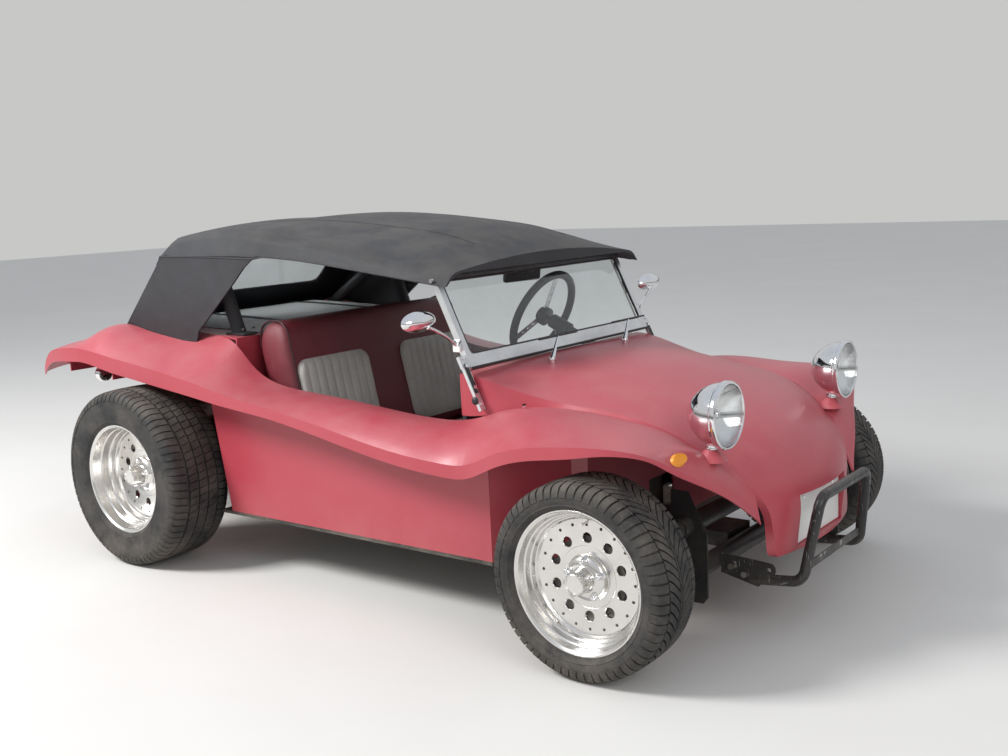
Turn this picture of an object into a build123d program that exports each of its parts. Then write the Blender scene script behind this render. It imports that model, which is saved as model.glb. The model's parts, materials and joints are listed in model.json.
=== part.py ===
from build123d import *
import math
import os

# Open two-seat buggy on a shortened platform chassis: moulded plastic body, hardtop,
# front trailing-arm beam, rear engine. Millimetres. +X is forward, +Y is left, +Z is up.
# The origin is on the ground below the centre of the whole vehicle.

# Driving dimensions

wheelbase = 2032.0
front_overhang = 455.0
rear_overhang = 780.0
length = front_overhang + wheelbase + rear_overhang

front_track = 1451.0
front_tyre_radius = 280.5
front_tyre_width = 200.0
front_rim_width = 165.0
front_dish = 66.0

rear_track = 1401.0
rear_tyre_radius = 336.0
rear_tyre_width = 255.0
rear_rim_width = 230.0
rear_dish = 105.0

rim_flange_radius = 208.0
rim_seat_radius = 190.5
rim_wall = 5.0
tyre_wall = 12.0
drum_radius = 115.0
drum_depth = 46.0
hub_cap_radius = 38.0
vent_hole_radius = 15.0
vent_circle_radius = 112.0
vent_holes = 10

kingpin_y = 600.0
kingpin_radius = 12.0
steering_arm_length = 120.0
steering_limit = 30.0
spindle_radius = 15.0
beam_tube_radius = 30.0
beam_tube_spacing = 150.0
beam_half_length = 455.0
beam_forward = 120.0
steering_y = 310.0

shell = 6.0
floor_underside = 205.0
floor_thickness = 12.0
sill_half_width = 620.0
tub_half_width = 500.0
tunnel_half_width = 80.0
tunnel_height = 165.0
cushion_top = 410.0

screen_base_forward = -552.0
screen_base_z = 795.5
screen_half_width = 537.0
screen_height = 322.0
screen_lean = 25.5
screen_bar = 26.0
screen_sill_bar = 46.0
screen_frame_depth = 22.0
screen_leg_width = 24.0
screen_leg_length = 135.0
glass_thickness = 6.0
roof_thickness = 8.0

hoop_tube_radius = 26.0
hoop_half_width = 465.0
bumper_tube_radius = 16.0
tow_eye_forward = 305.0
tow_eye_z = 205.0
tow_eye_radius = 20.0
tow_hole_radius = 6.5
lamp_radius = 97.0
lamp_y = 436.0
lamp_z = 699.5
lamp_forward = 276.5
lamp_stalk_forward = 222.0
lamp_pod_top = 600.0
lamp_pod_radius = 17.0
lamp_pod_base = 46.0
indicator_forward = 213.0
indicator_y = 612.0
indicator_half_width = 37.0
indicator_half_height = 19.0
indicator_depth = 10.0
plate_width = 330.0
plate_height = 148.0
plate_middle_z = 344.0
recess_forward = 352.0
steering_wheel_radius = 172.0

seat_gap = 0.3
wall_gap = 1.5
running_gap = 0.05
panel_gap = 0.4

# Places worked out from the driving dimensions

rear_axle_x = rear_overhang - length / 2
front_axle_x = rear_axle_x + wheelbase
floor_top = floor_underside + floor_thickness
engine_rear_x = rear_axle_x - 640.0


def ahead_of_rear(distance):
    """X of a place given by its distance ahead of the rear axle."""
    return rear_axle_x + distance


def ahead_of_front(distance):
    """X of a place given by its distance ahead of the front axle."""
    return front_axle_x + distance


def both_sides(solid):
    """A right-hand piece (negative Y) and its mirror image."""
    return {"right": solid, "left": mirror(solid, Plane.XZ)}


def pair(solid):
    """A right-hand piece and its mirror image, as two solids of one node."""
    return Compound(children=list(both_sides(solid).values()))


def rod(start, end, radius):
    """Round bar between two points."""
    start = Vector(*start)
    end = Vector(*end)
    axis = end - start
    plane = Plane(origin=start, z_dir=axis.normalized())
    return extrude(plane * Circle(radius), axis.length)


def pipe(points, bends, radius):
    """Round tube, solid, along straight runs joined by arcs."""
    path = FilletPolyline(*points, radius=bends)
    start = Plane(origin=path @ 0, z_dir=path % 0)
    return sweep(start * Circle(radius), path=path)


def crossings(solid, x, y):
    """Points and normals where an upright line at (x, y) meets a solid, the highest first."""
    hits = solid.find_intersection_points(Axis((x, y, 2000), (0, 0, -1)))
    return sorted(hits, key=lambda hit: -hit[0].Z)


def top_of(solid, x, y):
    """Height of a solid's upper face over (x, y)."""
    return crossings(solid, x, y)[0][0].Z


def underside_of(solid, x, y):
    """Height of the lower face of a solid's uppermost wall over (x, y)."""
    return crossings(solid, x, y)[1][0].Z


def cone(start, end, start_radius, end_radius):
    """Tapered round bar between two points."""
    start = Vector(*start)
    axis = Vector(*end) - start
    bottom = Plane(origin=start, z_dir=axis.normalized())
    return loft([bottom * Circle(start_radius), bottom.offset(axis.length) * Circle(end_radius)])


def largest(shape):
    """The biggest solid of a shape."""
    return max(shape.solids(), key=lambda solid: solid.volume)


def box_between(low, high):
    """Box from its lowest corner to its highest corner."""
    size = [b - a for a, b in zip(low, high)]
    centre = [(a + b) / 2 for a, b in zip(low, high)]
    return Pos(*centre) * Box(*size)


def link_plate(a, b, radius, z_low, z_high):
    """Flat link with round ends between two plan points."""
    run = Vector(b[0] - a[0], b[1] - a[1], 0)
    turn = math.degrees(math.atan2(run.Y, run.X))
    middle = Pos((a[0] + b[0]) / 2, (a[1] + b[1]) / 2, z_low) * Rot(0, 0, turn)
    outline = Rectangle(run.length, 2 * radius)
    outline += Pos(-run.length / 2, 0) * Circle(radius)
    outline += Pos(run.length / 2, 0) * Circle(radius)
    return extrude(middle * outline, z_high - z_low)


def side_profile(points, y_low, y_high):
    """Prism with an outline of (x, z) points, between two Y planes."""
    face = Plane.XZ * make_face(Polyline(*points, close=True))
    prism = extrude(face, amount=y_high - y_low)
    return Pos(0, y_high - prism.bounding_box().max.Y, 0) * prism


# Wheels: the section of each is drawn as (outward distance from the wheel's centre, radius)


def turned(points, centre_y, axle_x, axle_z):
    """Right-hand wheel piece, turned about its axle from (outward, radius) points."""
    outline = Polyline(*[(0, -u, r) for u, r in points], close=True)
    face = make_face(outline)
    solid = revolve(face, Axis((0, 0, 0), (0, 1, 0)))
    return Pos(axle_x, -centre_y, axle_z) * solid


def tyre(radius, width, rim_width, centre_y, axle_x):
    """Hollow tyre whose beads stand on the rim's seats, inside its flanges."""
    bead = rim_seat_radius + seat_gap
    flange = rim_flange_radius + 0.5
    half = width / 2
    shoulder = radius - 12.0
    tread = half - 16.0
    bead_u = rim_width / 2 - 9.5
    sidewall = (radius + flange) / 2
    cavity_half = half - tyre_wall
    outer = [
        (-bead_u, bead),
        (-bead_u - 3.5, flange),
        (-bead_u - 12, flange + 1),
        (-half, sidewall),
        (-half + 4, shoulder - 8),
        (-tread, radius - 4),
        (0, radius),
        (tread, radius - 4),
        (half - 4, shoulder - 8),
        (half, sidewall),
        (bead_u + 12, flange + 1),
        (bead_u + 3.5, flange),
        (bead_u, bead),
    ]
    cavity = [
        (bead_u - tyre_wall, bead),
        (bead_u - tyre_wall + 6, flange + 8),
        (cavity_half, sidewall),
        (cavity_half - 8, radius - tyre_wall - 8),
        (-cavity_half + 8, radius - tyre_wall - 8),
        (-cavity_half, sidewall),
        (-bead_u + tyre_wall - 6, flange + 8),
        (-bead_u + tyre_wall, bead),
    ]
    return turned(outer + cavity, centre_y, axle_x, radius)


def disc_face(rim_width, dish):
    """Outward place of the wheel disc's outer face."""
    return rim_width / 2 - dish


def rim(radius, rim_width, dish, centre_y, axle_x):
    """Deep-dish alloy rim with a ring of round holes and a stepped centre cap."""
    a = rim_width / 2
    face = disc_face(rim_width, dish)
    disc = 10.0
    inside = rim_seat_radius - rim_wall
    points = [
        (-a, inside),
        (-a, rim_flange_radius),
        (-a + 5, rim_flange_radius),
        (-a + 9, rim_seat_radius),
        (a - 9, rim_seat_radius),
        (a - 5, rim_flange_radius),
        (a, rim_flange_radius),
        (a, rim_flange_radius - 5),
        (a - 9, inside - 1),
        (face + 22, inside - 3),
        (face + 12, inside - 24),
        (face, inside - 28),
        (face, 72),
        (face + 14, 66),
        (face + 14, hub_cap_radius),
        (face + 44, hub_cap_radius - 2),
        (face + 46, hub_cap_radius - 8),
        (face + 62, hub_cap_radius - 9),
        (face + 65, hub_cap_radius - 13),
        (face + 65, 0),
        (face - disc, 0),
        (face - disc, inside - 20),
        (face - disc, inside),
    ]
    solid = turned(points, centre_y, axle_x, radius)
    for i in range(vent_holes):
        angle = 2 * math.pi * i / vent_holes
        x = axle_x + vent_circle_radius * math.cos(angle)
        z = radius + vent_circle_radius * math.sin(angle)
        y = -centre_y - face
        solid -= rod((x, y - 20, z), (x, y + 30, z), vent_hole_radius)
    return solid


def drum(radius, rim_width, dish, centre_y, axle_x):
    """Brake drum, open towards the car, with the hub that turns on the axle."""
    outer = disc_face(rim_width, dish) - 10.0 - seat_gap
    inner = outer - drum_depth
    bore = spindle_radius + running_gap
    points = [
        (inner, drum_radius),
        (outer, drum_radius),
        (outer, 0),
        (outer - 6, 0),
        (outer - 6, bore),
        (inner + 4, bore),
        (inner + 4, 30),
        (outer - 9, 34),
        (outer - 9, drum_radius - 8),
        (inner, drum_radius - 8),
    ]
    return turned(points, centre_y, axle_x, radius)


def spindle(radius, rim_width, dish, centre_y, axle_x, inboard):
    """Fixed axle stub from an inboard Y to the end of the hub's bore, with its backplate."""
    drum_outer = disc_face(rim_width, dish) - 10.0 - seat_gap
    drum_inner = drum_outer - drum_depth
    tip = -(centre_y + drum_outer - 7)
    plate = -(centre_y + drum_inner - 5)
    stub = rod((axle_x, -inboard, radius), (axle_x, tip, radius), spindle_radius)
    backplate = rod((axle_x, plate + 4, radius), (axle_x, plate, radius), drum_radius)
    shoulder = rod((axle_x, -inboard, radius), (axle_x, plate, radius), 26)
    return stub + backplate + shoulder


# Steering and front suspension

front_z = front_tyre_radius
rear_z = rear_tyre_radius
cross_tube_forward = 240.0
cross_tube_radius = 35.0
cross_tube_z = rear_z - 20.0
tie_rod_radius = 8.0
tie_rod_lift = 22.0
arm_half = 7.0
pitman_x = ahead_of_front(55.0)
front_centre = front_track / 2
rear_centre = rear_track / 2


def knuckle():
    """Right-hand knuckle: kingpin eye, spindle and steering arm."""
    x = front_axle_x
    eye = rod((x, -kingpin_y, front_z - 40), (x, -kingpin_y, front_z + 40), 24)
    arm_end = (x - steering_arm_length, -kingpin_y)
    arm = link_plate((x, -kingpin_y), arm_end, 17, front_z - arm_half, front_z + arm_half)
    body = eye + arm + spindle(
        front_tyre_radius, front_rim_width, front_dish, front_centre, x, kingpin_y
    )
    body -= rod((x, -kingpin_y, 0), (x, -kingpin_y, 700), kingpin_radius + running_gap)
    pin_bore = tie_rod_radius + 0.5
    body -= rod((*arm_end, front_z - 30), (*arm_end, front_z + 30), pin_bore)
    return body


def suspension_side():
    """Right-hand pair of trailing arms with the kingpin that they carry."""
    x = front_axle_x
    pair = rod(
        (x, -kingpin_y, front_z - 85), (x, -kingpin_y, front_z + 85), kingpin_radius
    )
    for side in (-1, 1):
        z = front_z + side * beam_tube_spacing / 2
        root = (x + beam_forward, -beam_half_length - 30)
        pair += link_plate(root, (x, -kingpin_y), 20, z - 10, z + 10)
        pair += rod(
            (x + beam_forward, -beam_half_length - seat_gap, z),
            (x + beam_forward, -beam_half_length - 42, z),
            26,
        )
    return pair


def front_beam():
    """Two torsion tubes joined by a tower plate near each end."""
    x = front_axle_x + beam_forward
    beam = None
    for side in (-1, 1):
        z = front_z + side * beam_tube_spacing / 2
        tube = rod((x, -beam_half_length, z), (x, beam_half_length, z), beam_tube_radius)
        beam = tube if beam is None else beam + tube
    tower = [
        (x - 45, front_z - 110),
        (x - 20, front_z - 150),
        (x + 55, front_z - 150),
        (x + 70, front_z - 130),
        (x + 70, front_z + 60),
        (x + 10, front_z + 180),
        (x - 45, front_z + 180),
    ]
    for y in (-410, 404):
        beam += side_profile(tower, y, y + 6)
    return beam


def steering_box():
    """Gear housing on the upper beam tube, with bores for its two shafts."""
    top = front_z + beam_tube_spacing / 2 + beam_tube_radius
    x = pitman_x
    housing = rod((x, steering_y, top + seat_gap), (x, steering_y, top + 68), 30)
    housing += box_between(
        (x, steering_y - 28, top + seat_gap), (x + 80, steering_y + 28, top + 50)
    )
    housing -= rod((x, steering_y, top - 5), (x, steering_y, top + 26), 11 + running_gap)
    socket_end = column_point(column_length - 12)
    housing += rod(column_point(column_length - 70), socket_end, 22)
    housing -= rod(column_point(column_length - 90), column_point(column_length - 30), 10.2)
    return housing


def pitman_arm():
    """Drop arm: output shaft, and a link as long as the steering arms."""
    x = pitman_x
    top = front_z + beam_tube_spacing / 2 + beam_tube_radius
    arm = link_plate(
        (x, steering_y), (x - steering_arm_length, steering_y), 17,
        front_z - arm_half, front_z + arm_half,
    )
    arm += rod((x, steering_y, front_z - arm_half), (x, steering_y, top + 25), 11)
    end = (x - steering_arm_length, steering_y)
    arm -= rod((*end, front_z - 20), (*end, front_z + 20), tie_rod_radius + 0.5)
    return arm


def tie_rod(side):
    """Track rod from the drop arm to a knuckle: above the arms on the left, below on the right."""
    lift = side * tie_rod_lift
    inner = (pitman_x - steering_arm_length, steering_y, front_z + lift)
    outer = (front_axle_x - steering_arm_length, side * kingpin_y, front_z + lift)
    track_rod = rod(inner, outer, tie_rod_radius)
    for x, y, z in (inner, outer):
        near = front_z + side * 0.5
        track_rod += rod((x, y, z + side * 10), (x, y, near), tie_rod_radius)
        track_rod += Pos(x, y, z) * Sphere(12)
    return track_rod


wheel_centre = Vector(ahead_of_front(-872), steering_y, 862)
box_input = Vector(pitman_x, steering_y, front_z + beam_tube_spacing / 2 + beam_tube_radius + 45)
column_axis = (box_input - wheel_centre).normalized()
column_length = (box_input - wheel_centre).length


def column_point(distance):
    """Point on the steering column's axis, measured down from the steering wheel."""
    return wheel_centre + column_axis * distance


def steering_column():
    """Column tube with its bracket under the dashboard."""
    tube = rod(column_point(48), column_point(560), 19)
    tube += rod(column_point(48), column_point(130), 27)
    tube -= rod(column_point(40), column_point(570), 10.5)
    return tube


def steering_wheel():
    """Three-spoke wheel on its shaft, which turns in the column and the steering box."""
    plane = Plane(origin=wheel_centre, z_dir=column_axis, x_dir=(0, 1, 0))
    wheel = Torus(steering_wheel_radius, 12)
    wheel += Pos(0, 0, 13) * Cylinder(32, 34)
    for angle in (90, 210, 330):
        reach = steering_wheel_radius - 2
        wheel += Rot(0, 0, angle) * Pos(reach / 2, 0, 3) * Box(reach, 24, 4)
    return plane * wheel + rod(column_point(28), column_point(column_length - 32), 10)


# Chassis platform and rear axle


def floor_pan():
    """Pressed platform with centre tunnel, frame head and two rear frame horns."""
    rear = ahead_of_rear(330)
    front = ahead_of_front(-432)
    pan = box_between(
        (rear, -sill_half_width, floor_underside), (front, sill_half_width, floor_top)
    )
    pan += box_between((front - 1, -430, floor_underside), (ahead_of_front(-190), 430, floor_top))
    tunnel = [
        (-tunnel_half_width, floor_underside),
        (-tunnel_half_width, floor_top + tunnel_height - 40),
        (-tunnel_half_width + 40, floor_top + tunnel_height),
        (tunnel_half_width - 40, floor_top + tunnel_height),
        (tunnel_half_width, floor_top + tunnel_height - 40),
        (tunnel_half_width, floor_underside),
    ]
    section = make_face(Polyline(*[(rear, y, z) for y, z in tunnel], close=True))
    pan += extrude(section, amount=ahead_of_front(-230) - rear, dir=(1, 0, 0))
    head_top = front_z - tie_rod_lift - tie_rod_radius - 7
    pan += box_between(
        (ahead_of_front(-231), -tunnel_half_width, floor_underside - 10),
        (ahead_of_front(beam_forward) - beam_tube_radius - seat_gap, tunnel_half_width, head_top),
    )
    horn_top = cross_tube_z - cross_tube_radius - seat_gap
    for y in (-190, 130):
        pan += box_between(
            (ahead_of_rear(-60), y, floor_underside), (rear + 60, y + 60, horn_top)
        )
    return pan


def rear_axle():
    """Gearbox with swing axle tubes, cross tube and spring plates."""
    gearbox_half = 120.0
    x = rear_axle_x
    axle = rod((x - 120, 0, rear_z), (x + 170, 0, rear_z), 110)
    inboard = rear_centre + disc_face(rear_rim_width, rear_dish) - 10 - drum_depth - 60
    for side in (-1, 1):
        axle += rod((x, side * 60, rear_z), (x, side * inboard, rear_z), 32)
    for solid in both_sides(
        spindle(rear_tyre_radius, rear_rim_width, rear_dish, rear_centre, x, gearbox_half)
    ).values():
        axle += solid
    tube_x = x + cross_tube_forward
    axle += rod((tube_x, -500, cross_tube_z), (tube_x, 500, cross_tube_z), cross_tube_radius)
    for side in (-1, 1):
        y = side * 480
        axle += side_profile(
            [
                (x - 30, rear_z - 35),
                (x + 240, rear_z - 50),
                (x + 240, rear_z + 10),
                (x - 30, rear_z + 35),
            ],
            y - 5,
            y + 5,
        )
    return axle


def engine():
    """Plain block of the flat engine's outer size, behind the gearbox."""
    return box_between(
        (engine_rear_x, -370, 250), (ahead_of_rear(-120 - seat_gap), 370, 640)
    )


def exhaust():
    """Cross silencer below the tail with two tail pipes."""
    x = ahead_of_rear(-700)
    silencer = rod((x, -260, 300), (x, 260, 300), 55)
    for y in (-120, 120):
        silencer += rod((x, y, 290), (x - 78, y, 280), 18)
        silencer += rod((x, y, 330), (engine_rear_x - seat_gap, y, 330), 18)
    return silencer


# Moulded body. Each flank is one skin from the tail to the nose, cut into rear fender, side
# and front fender. Its sections stand upright and fan round the front corner.


def circle_through(a, b, c):
    """Centre and radius of the circle through three points of a section."""
    ax, ay, bx, by, cx, cy = *a, *b, *c
    d = 2 * (ax * (by - cy) + bx * (cy - ay) + cx * (ay - by))
    sa, sb, sc = ax * ax + ay * ay, bx * bx + by * by, cx * cx + cy * cy
    ux = (sa * (by - cy) + sb * (cy - ay) + sc * (ay - by)) / d
    uy = (sa * (cx - bx) + sb * (ax - cx) + sc * (bx - ax)) / d
    return (ux, uy), math.hypot(ax - ux, ay - uy)


def inset(point, centre, radius, depth):
    """Point of an arc moved inwards, which is towards a centre below it or away from one above."""
    side = 1 if centre[1] < point[1] else -1
    k = (radius - side * depth) / radius
    return (centre[0] + (point[0] - centre[0]) * k, centre[1] + (point[1] - centre[1]) * k)


def wire_of(place, runs):
    """Closed wire of straight runs (two points) and arcs (three), put in space by place(q, z)."""
    edges = []
    for run in runs:
        ends = [place(*point) for point in run]
        edges.append(Line(*ends) if len(ends) == 2 else ThreePointArc(*ends))
    return Wire([edge.edge() for edge in edges])


def loft_of(wires):
    """Smooth solid through closed wires."""
    return Solid.make_loft(wires, False)


def flank_wire(inner, crown, lip, band):
    """Section of the skin: a crowned strip from its inner edge to the lip, and the lip's band."""
    (x_in, y_in, z_in), (share, crown_z), (x_lip, y_lip, z_lip) = inner, crown, lip
    width = math.dist((x_in, y_in), (x_lip, y_lip))
    x_step = (x_lip - x_in) / width
    y_step = (y_lip - y_in) / width
    start, top, end = (0, z_in), (share * width, crown_z), (width, z_lip)
    edge = (width + band[0], z_lip - band[1])
    centre, radius = circle_through(start, top, end)
    end_in = inset(end, centre, radius, shell)
    crown_side = ((end_in[0] - end[0]) / shell, (end_in[1] - end[1]) / shell)
    band_length = math.hypot(*band)
    band_side = (-band[1] / band_length, -band[0] / band_length)
    spread = shell / (1 + crown_side[0] * band_side[0] + crown_side[1] * band_side[1])
    corner = (
        end[0] + (crown_side[0] + band_side[0]) * spread,
        end[1] + (crown_side[1] + band_side[1]) * spread,
    )
    edge_in = (edge[0] + band_side[0] * shell, edge[1] + band_side[1] * shell)
    start_in = inset(start, centre, radius, shell)
    top_in = inset(top, centre, radius, shell)
    runs = [
        (start, top, end), (end, edge), (edge, edge_in),
        (edge_in, corner), (corner, top_in, start_in), (start_in, start),
    ]
    return wire_of(lambda q, z: (x_in + x_step * q, -(y_in + y_step * q), z), runs)


# anchor, inner edge (x, y, z), crown (share of the width, z), lip (x, y, z), band (out, down)
flank_table = [
    ("rear", (-776, 500, 692), (0.50, 686), (-776, 620, 672), (0, 14)),
    ("rear", (-735, 500, 718), (0.49, 716), (-735, 640, 703), (0, 30)),
    ("rear", (-690, 500, 747), (0.48, 748), (-690, 656, 738), (0, 40)),
    ("rear", (-640, 500, 780), (0.47, 779), (-640, 671, 765), (0, 46)),
    ("rear", (-520, 500, 816), (0.46, 810), (-520, 704, 791), (0, 52)),
    ("rear", (-390, 500, 850), (0.46, 838), (-390, 729, 804), (0, 55)),
    ("rear", (-310, 500, 866), (0.41, 873), (-310, 739, 805), (0, 53)),
    ("rear", (-230, 500, 866), (0.38, 886), (-230, 744, 799), (0, 55)),
    ("rear", (-120, 500, 866), (0.42, 859), (-120, 748, 785), (0, 59)),
    ("rear", (0, 500, 862), (0.46, 830), (0, 747, 769), (0, 60)),
    ("rear", (130, 504, 858), (0.45, 808), (130, 745, 752), (0, 60)),
    ("rear", (290, 530, 853), (0.45, 792), (290, 744, 728), (0, 56)),
    ("rear", (400, 548, 822), (0.45, 762), (400, 742, 709), (0, 52)),
    ("rear", (480, 548, 752), (0.45, 727), (480, 742, 692), (0, 46)),
    ("rear", (580, 548, 703), (0.45, 697), (580, 742, 675), (0, 40)),
    ("rear", (760, 548, 678), (0.45, 678), (760, 742, 652), (0, 36)),
    ("front", (-982, 548, 656), (0.45, 656), (-982, 742, 605), (0, 38)),
    ("front", (-675, 548, 632), (0.45, 624), (-675, 742, 556), (0, 40)),
    ("front", (-530, 545, 645), (0.45, 624), (-530, 742, 545), (0, 41)),
    ("front", (-430, 527, 675), (0.45, 655), (-430, 742, 548), (0, 42)),
    ("front", (-310, 508, 690), (0.47, 686), (-310, 760, 594), (0, 40)),
    ("front", (-180, 492, 688), (0.50, 692), (-180, 780, 632), (0, 37)),
    ("front", (-20, 470, 666), (0.52, 677), (-20, 790, 652), (0, 32)),
    ("front", (90, 452, 638), (0.55, 664), (90, 778, 655), (0, 19)),
    ("front", (153, 430, 600), (0.50, 630), (190, 725, 632), (0, 12)),
    ("front", (183, 418, 582), (0.50, 612), (218, 655, 593), (5, 14)),
    ("front", (213, 404, 560), (0.46, 572), (256, 548, 535), (9, 12)),
    ("front", (243, 388, 533), (0.50, 520), (291, 456, 478), (9, 12)),
    ("front", (276, 366, 502), (0.50, 470), (311, 392, 428), (8, 12)),
    ("front", (304, 338, 462), (0.50, 428), (328, 352, 388), (6, 12)),
]
rear_fender_end = 400.0
front_fender_end = -430.0


def flank():
    """Right-hand skin from tail to nose."""
    wires = []
    for anchor, (x_in, y_in, z_in), crown, (x_lip, y_lip, z_lip), band in flank_table:
        place = ahead_of_rear if anchor == "rear" else ahead_of_front
        wires.append(
            flank_wire((place(x_in), y_in, z_in), crown, (place(x_lip), y_lip, z_lip), band)
        )
    return loft_of(wires)


def front_fender(skin):
    """Arched front fender with the tapered pod that its headlamp stands on."""
    fender = largest(split(skin, Plane.YZ.offset(ahead_of_front(front_fender_end)), Keep.TOP))
    return fender + lamp_pod(fender, 0)


def lamp_pod(fender, clearance):
    """Tapered pod below a headlamp, or the space that it needs with a clearance round it."""
    x = ahead_of_front(lamp_stalk_forward)
    foot = (x, -lamp_y, crossings(fender, x, -lamp_y)[-1][0].Z + shell / 2)
    top = (x, -lamp_y, lamp_pod_top + clearance)
    return cone(foot, top, lamp_pod_base + clearance, lamp_pod_radius + clearance)


def rear_fender(skin):
    """Arched rear fender with the tail's corner."""
    return largest(split(skin, Plane.YZ.offset(ahead_of_rear(rear_fender_end)), Keep.BOTTOM))


def body_side(skin):
    """Cockpit side: rolled rail that overhangs the flat wall down to the floor."""
    rear = ahead_of_rear(rear_fender_end)
    front = ahead_of_front(front_fender_end)
    rail = split(skin, Plane.YZ.offset(rear), Keep.TOP)
    rail = largest(split(rail, Plane.YZ.offset(front), Keep.BOTTOM))
    y = -sill_half_width + shell / 2
    low = floor_top + seat_gap
    arch = [(rear - 15, low), (rear - 90, 640)]
    under_fender = [
        (x, underside_of(skin, x, y) - panel_gap - shell / 2) for x in (rear - 85, rear - 45, rear)
    ]
    steps = 16
    under_rail = []
    for i in range(steps + 1):
        x = rear + 1 + (front - rear - 2) * i / steps
        under_rail.append((x, top_of(skin, x, y) - shell / 2))
    outline = arch + under_fender + under_rail + [(front - 1, low)]
    return rail + side_profile(outline, -sill_half_width, shell - sill_half_width)


# Hood and nose: one skin whose section planes turn with the nose, from upright to level
# crown (x, z), tilt, crease (y, drop), foot (y, drop)
hood_table = [
    ((-592, 783), 0, (538, 3), (536, 135)),
    ((-430, 793), 0, (524, 45), (531, 127)),
    ((-230, 780), 0, (493, 76), (503, 100)),
    ((-20, 728), 0, (463, 53), (474, 70)),
    ((158, 660), 22, (432, 50), (440, 68)),
    ((246, 615), 34, (402, 62), (413, 78)),
    ((320, 555), 48, (366, 66), (381, 82)),
    ((368, 482), 66.5, (334, 62), (350, 80)),
    ((388, 417), 85, (306, 60), (312, 82)),
    ((386, 340), 90, (284, 50), (286, 74)),
    ((374, 256), 90, (260, 32), (262, 56)),
]
nose_rows = 4


def tilted(crown, tilt):
    """Section plane through the crown: height 0 there, across the car and tilted forwards."""
    x, z = ahead_of_front(crown[0]), crown[1]
    lean = math.radians(tilt)
    return lambda y, height: (x + math.sin(lean) * height, -y, z + math.cos(lean) * height)


def hood_skin():
    """Crowned panel with a short skirt along each crease, from windscreen to nose."""
    wires = []
    for crown, tilt, (y_crease, drop), (y_foot, foot_drop) in hood_table:
        crease, foot = (y_crease, -drop), (y_foot, -foot_drop)
        centre, radius = circle_through((-y_crease, -drop), (0, 0), crease)
        under = inset(crease, centre, radius, shell)
        runs = [
            ((-y_foot, -foot_drop), (-y_crease, -drop)),
            ((-y_crease, -drop), (0, 0), crease),
            (crease, foot),
            (foot, (y_foot - shell, -foot_drop)),
            ((y_foot - shell, -foot_drop), (y_crease - shell, under[1])),
            ((y_crease - shell, under[1]), (0, -shell), (shell - y_crease, under[1])),
            ((shell - y_crease, under[1]), (shell - y_foot, -foot_drop)),
            ((shell - y_foot, -foot_drop), (-y_foot, -foot_drop)),
        ]
        wires.append(wire_of(tilted(crown, tilt), runs))
    return loft_of(wires)


def nose_block():
    """Solid behind the nose's outer face, which trims what is set into it."""
    wires = []
    for crown, tilt, (y_crease, drop), _ in hood_table[-nose_rows:]:
        left, right = (-y_crease, -drop), (y_crease, -drop)
        wires.append(wire_of(tilted(crown, tilt), [(left, (0, 0), right), (right, left)]))
    return loft_of(wires)


def nose_seam():
    """Plane where hood and nose panel meet: square to the skin, facing down the nose."""
    (x, z), tilt, _, _ = hood_table[-nose_rows]
    lean = math.radians(tilt)
    return Plane(
        origin=(ahead_of_front(x), 0, z), x_dir=(0, 1, 0), z_dir=(math.cos(lean), 0, -math.sin(lean))
    )


def hood(skin, flanks):
    """Raised hood, whose skirt stands on the fenders' inner edges and clears the lamp pods."""
    panel = split(skin, nose_seam(), Keep.BOTTOM)
    for side in flanks:
        panel -= side
    for pod in both_sides(lamp_pod(flanks[0], panel_gap)).values():
        panel -= pod
    return largest(panel)


def nose_panel(skin, flanks):
    """Blunt nose with a recess for the number plate."""
    half = plate_width / 2 + 5
    low = plate_middle_z - plate_height / 2 - 4
    high = plate_middle_z + plate_height / 2 + 4
    back = ahead_of_front(recess_forward)
    ahead = ahead_of_front(front_overhang)
    space = box_between((back, -half, low), (ahead, half, high))
    tray = box_between(
        (back - shell, -half - shell, low - shell), (ahead, half + shell, high + shell)
    )
    panel = split(skin, nose_seam(), Keep.TOP)
    panel = panel - space + ((tray - space) & nose_block())
    for side in flanks:
        panel -= side
    return largest(panel)


def footwell():
    """Front end of the tub: two tapering side walls and the toe board."""
    low = floor_top + seat_gap
    start = ahead_of_front(-430) + panel_gap
    bend = ahead_of_front(-250)
    end = ahead_of_front(-190)
    outline = [
        (start, -sill_half_width),
        (bend, -440),
        (end, -440),
        (end, 440),
        (bend, 440),
        (start, sill_half_width),
        (start, sill_half_width - shell),
        (bend - 2, 440 - shell),
        (end - shell, 440 - shell),
        (end - shell, shell - 440),
        (bend - 2, shell - 440),
        (start, shell - sill_half_width),
    ]
    face = make_face(Polyline(*[(x, y, low) for x, y in outline], close=True))
    walls = extrude(face, amount=600 - low, dir=(0, 0, 1))
    walls -= rod(column_point(300), column_point(column_length), 24)
    hole = tunnel_half_width + panel_gap
    walls -= box_between(
        (end - 60, -hole, low - 1), (end + 10, hole, floor_top + tunnel_height + panel_gap)
    )
    return walls


# Top of the luggage deck and tail as (x ahead of the rear axle, z)
deck_line = [(392, 850), (-120, 866), (-310, 866), (-390, 850), (-640, 780), (-776, 692)]
deck_half_width = tub_half_width + 4
tail_floor = 585  # lower edge of the tail panel


def deck_height(x):
    """Height of the deck at a distance ahead of the rear axle."""
    for (x_a, z_a), (x_b, z_b) in zip(deck_line, deck_line[1:]):
        if x >= x_b:
            return z_b + (z_a - z_b) * (x - x_b) / (x_a - x_b)
    return deck_line[-1][1]


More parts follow.
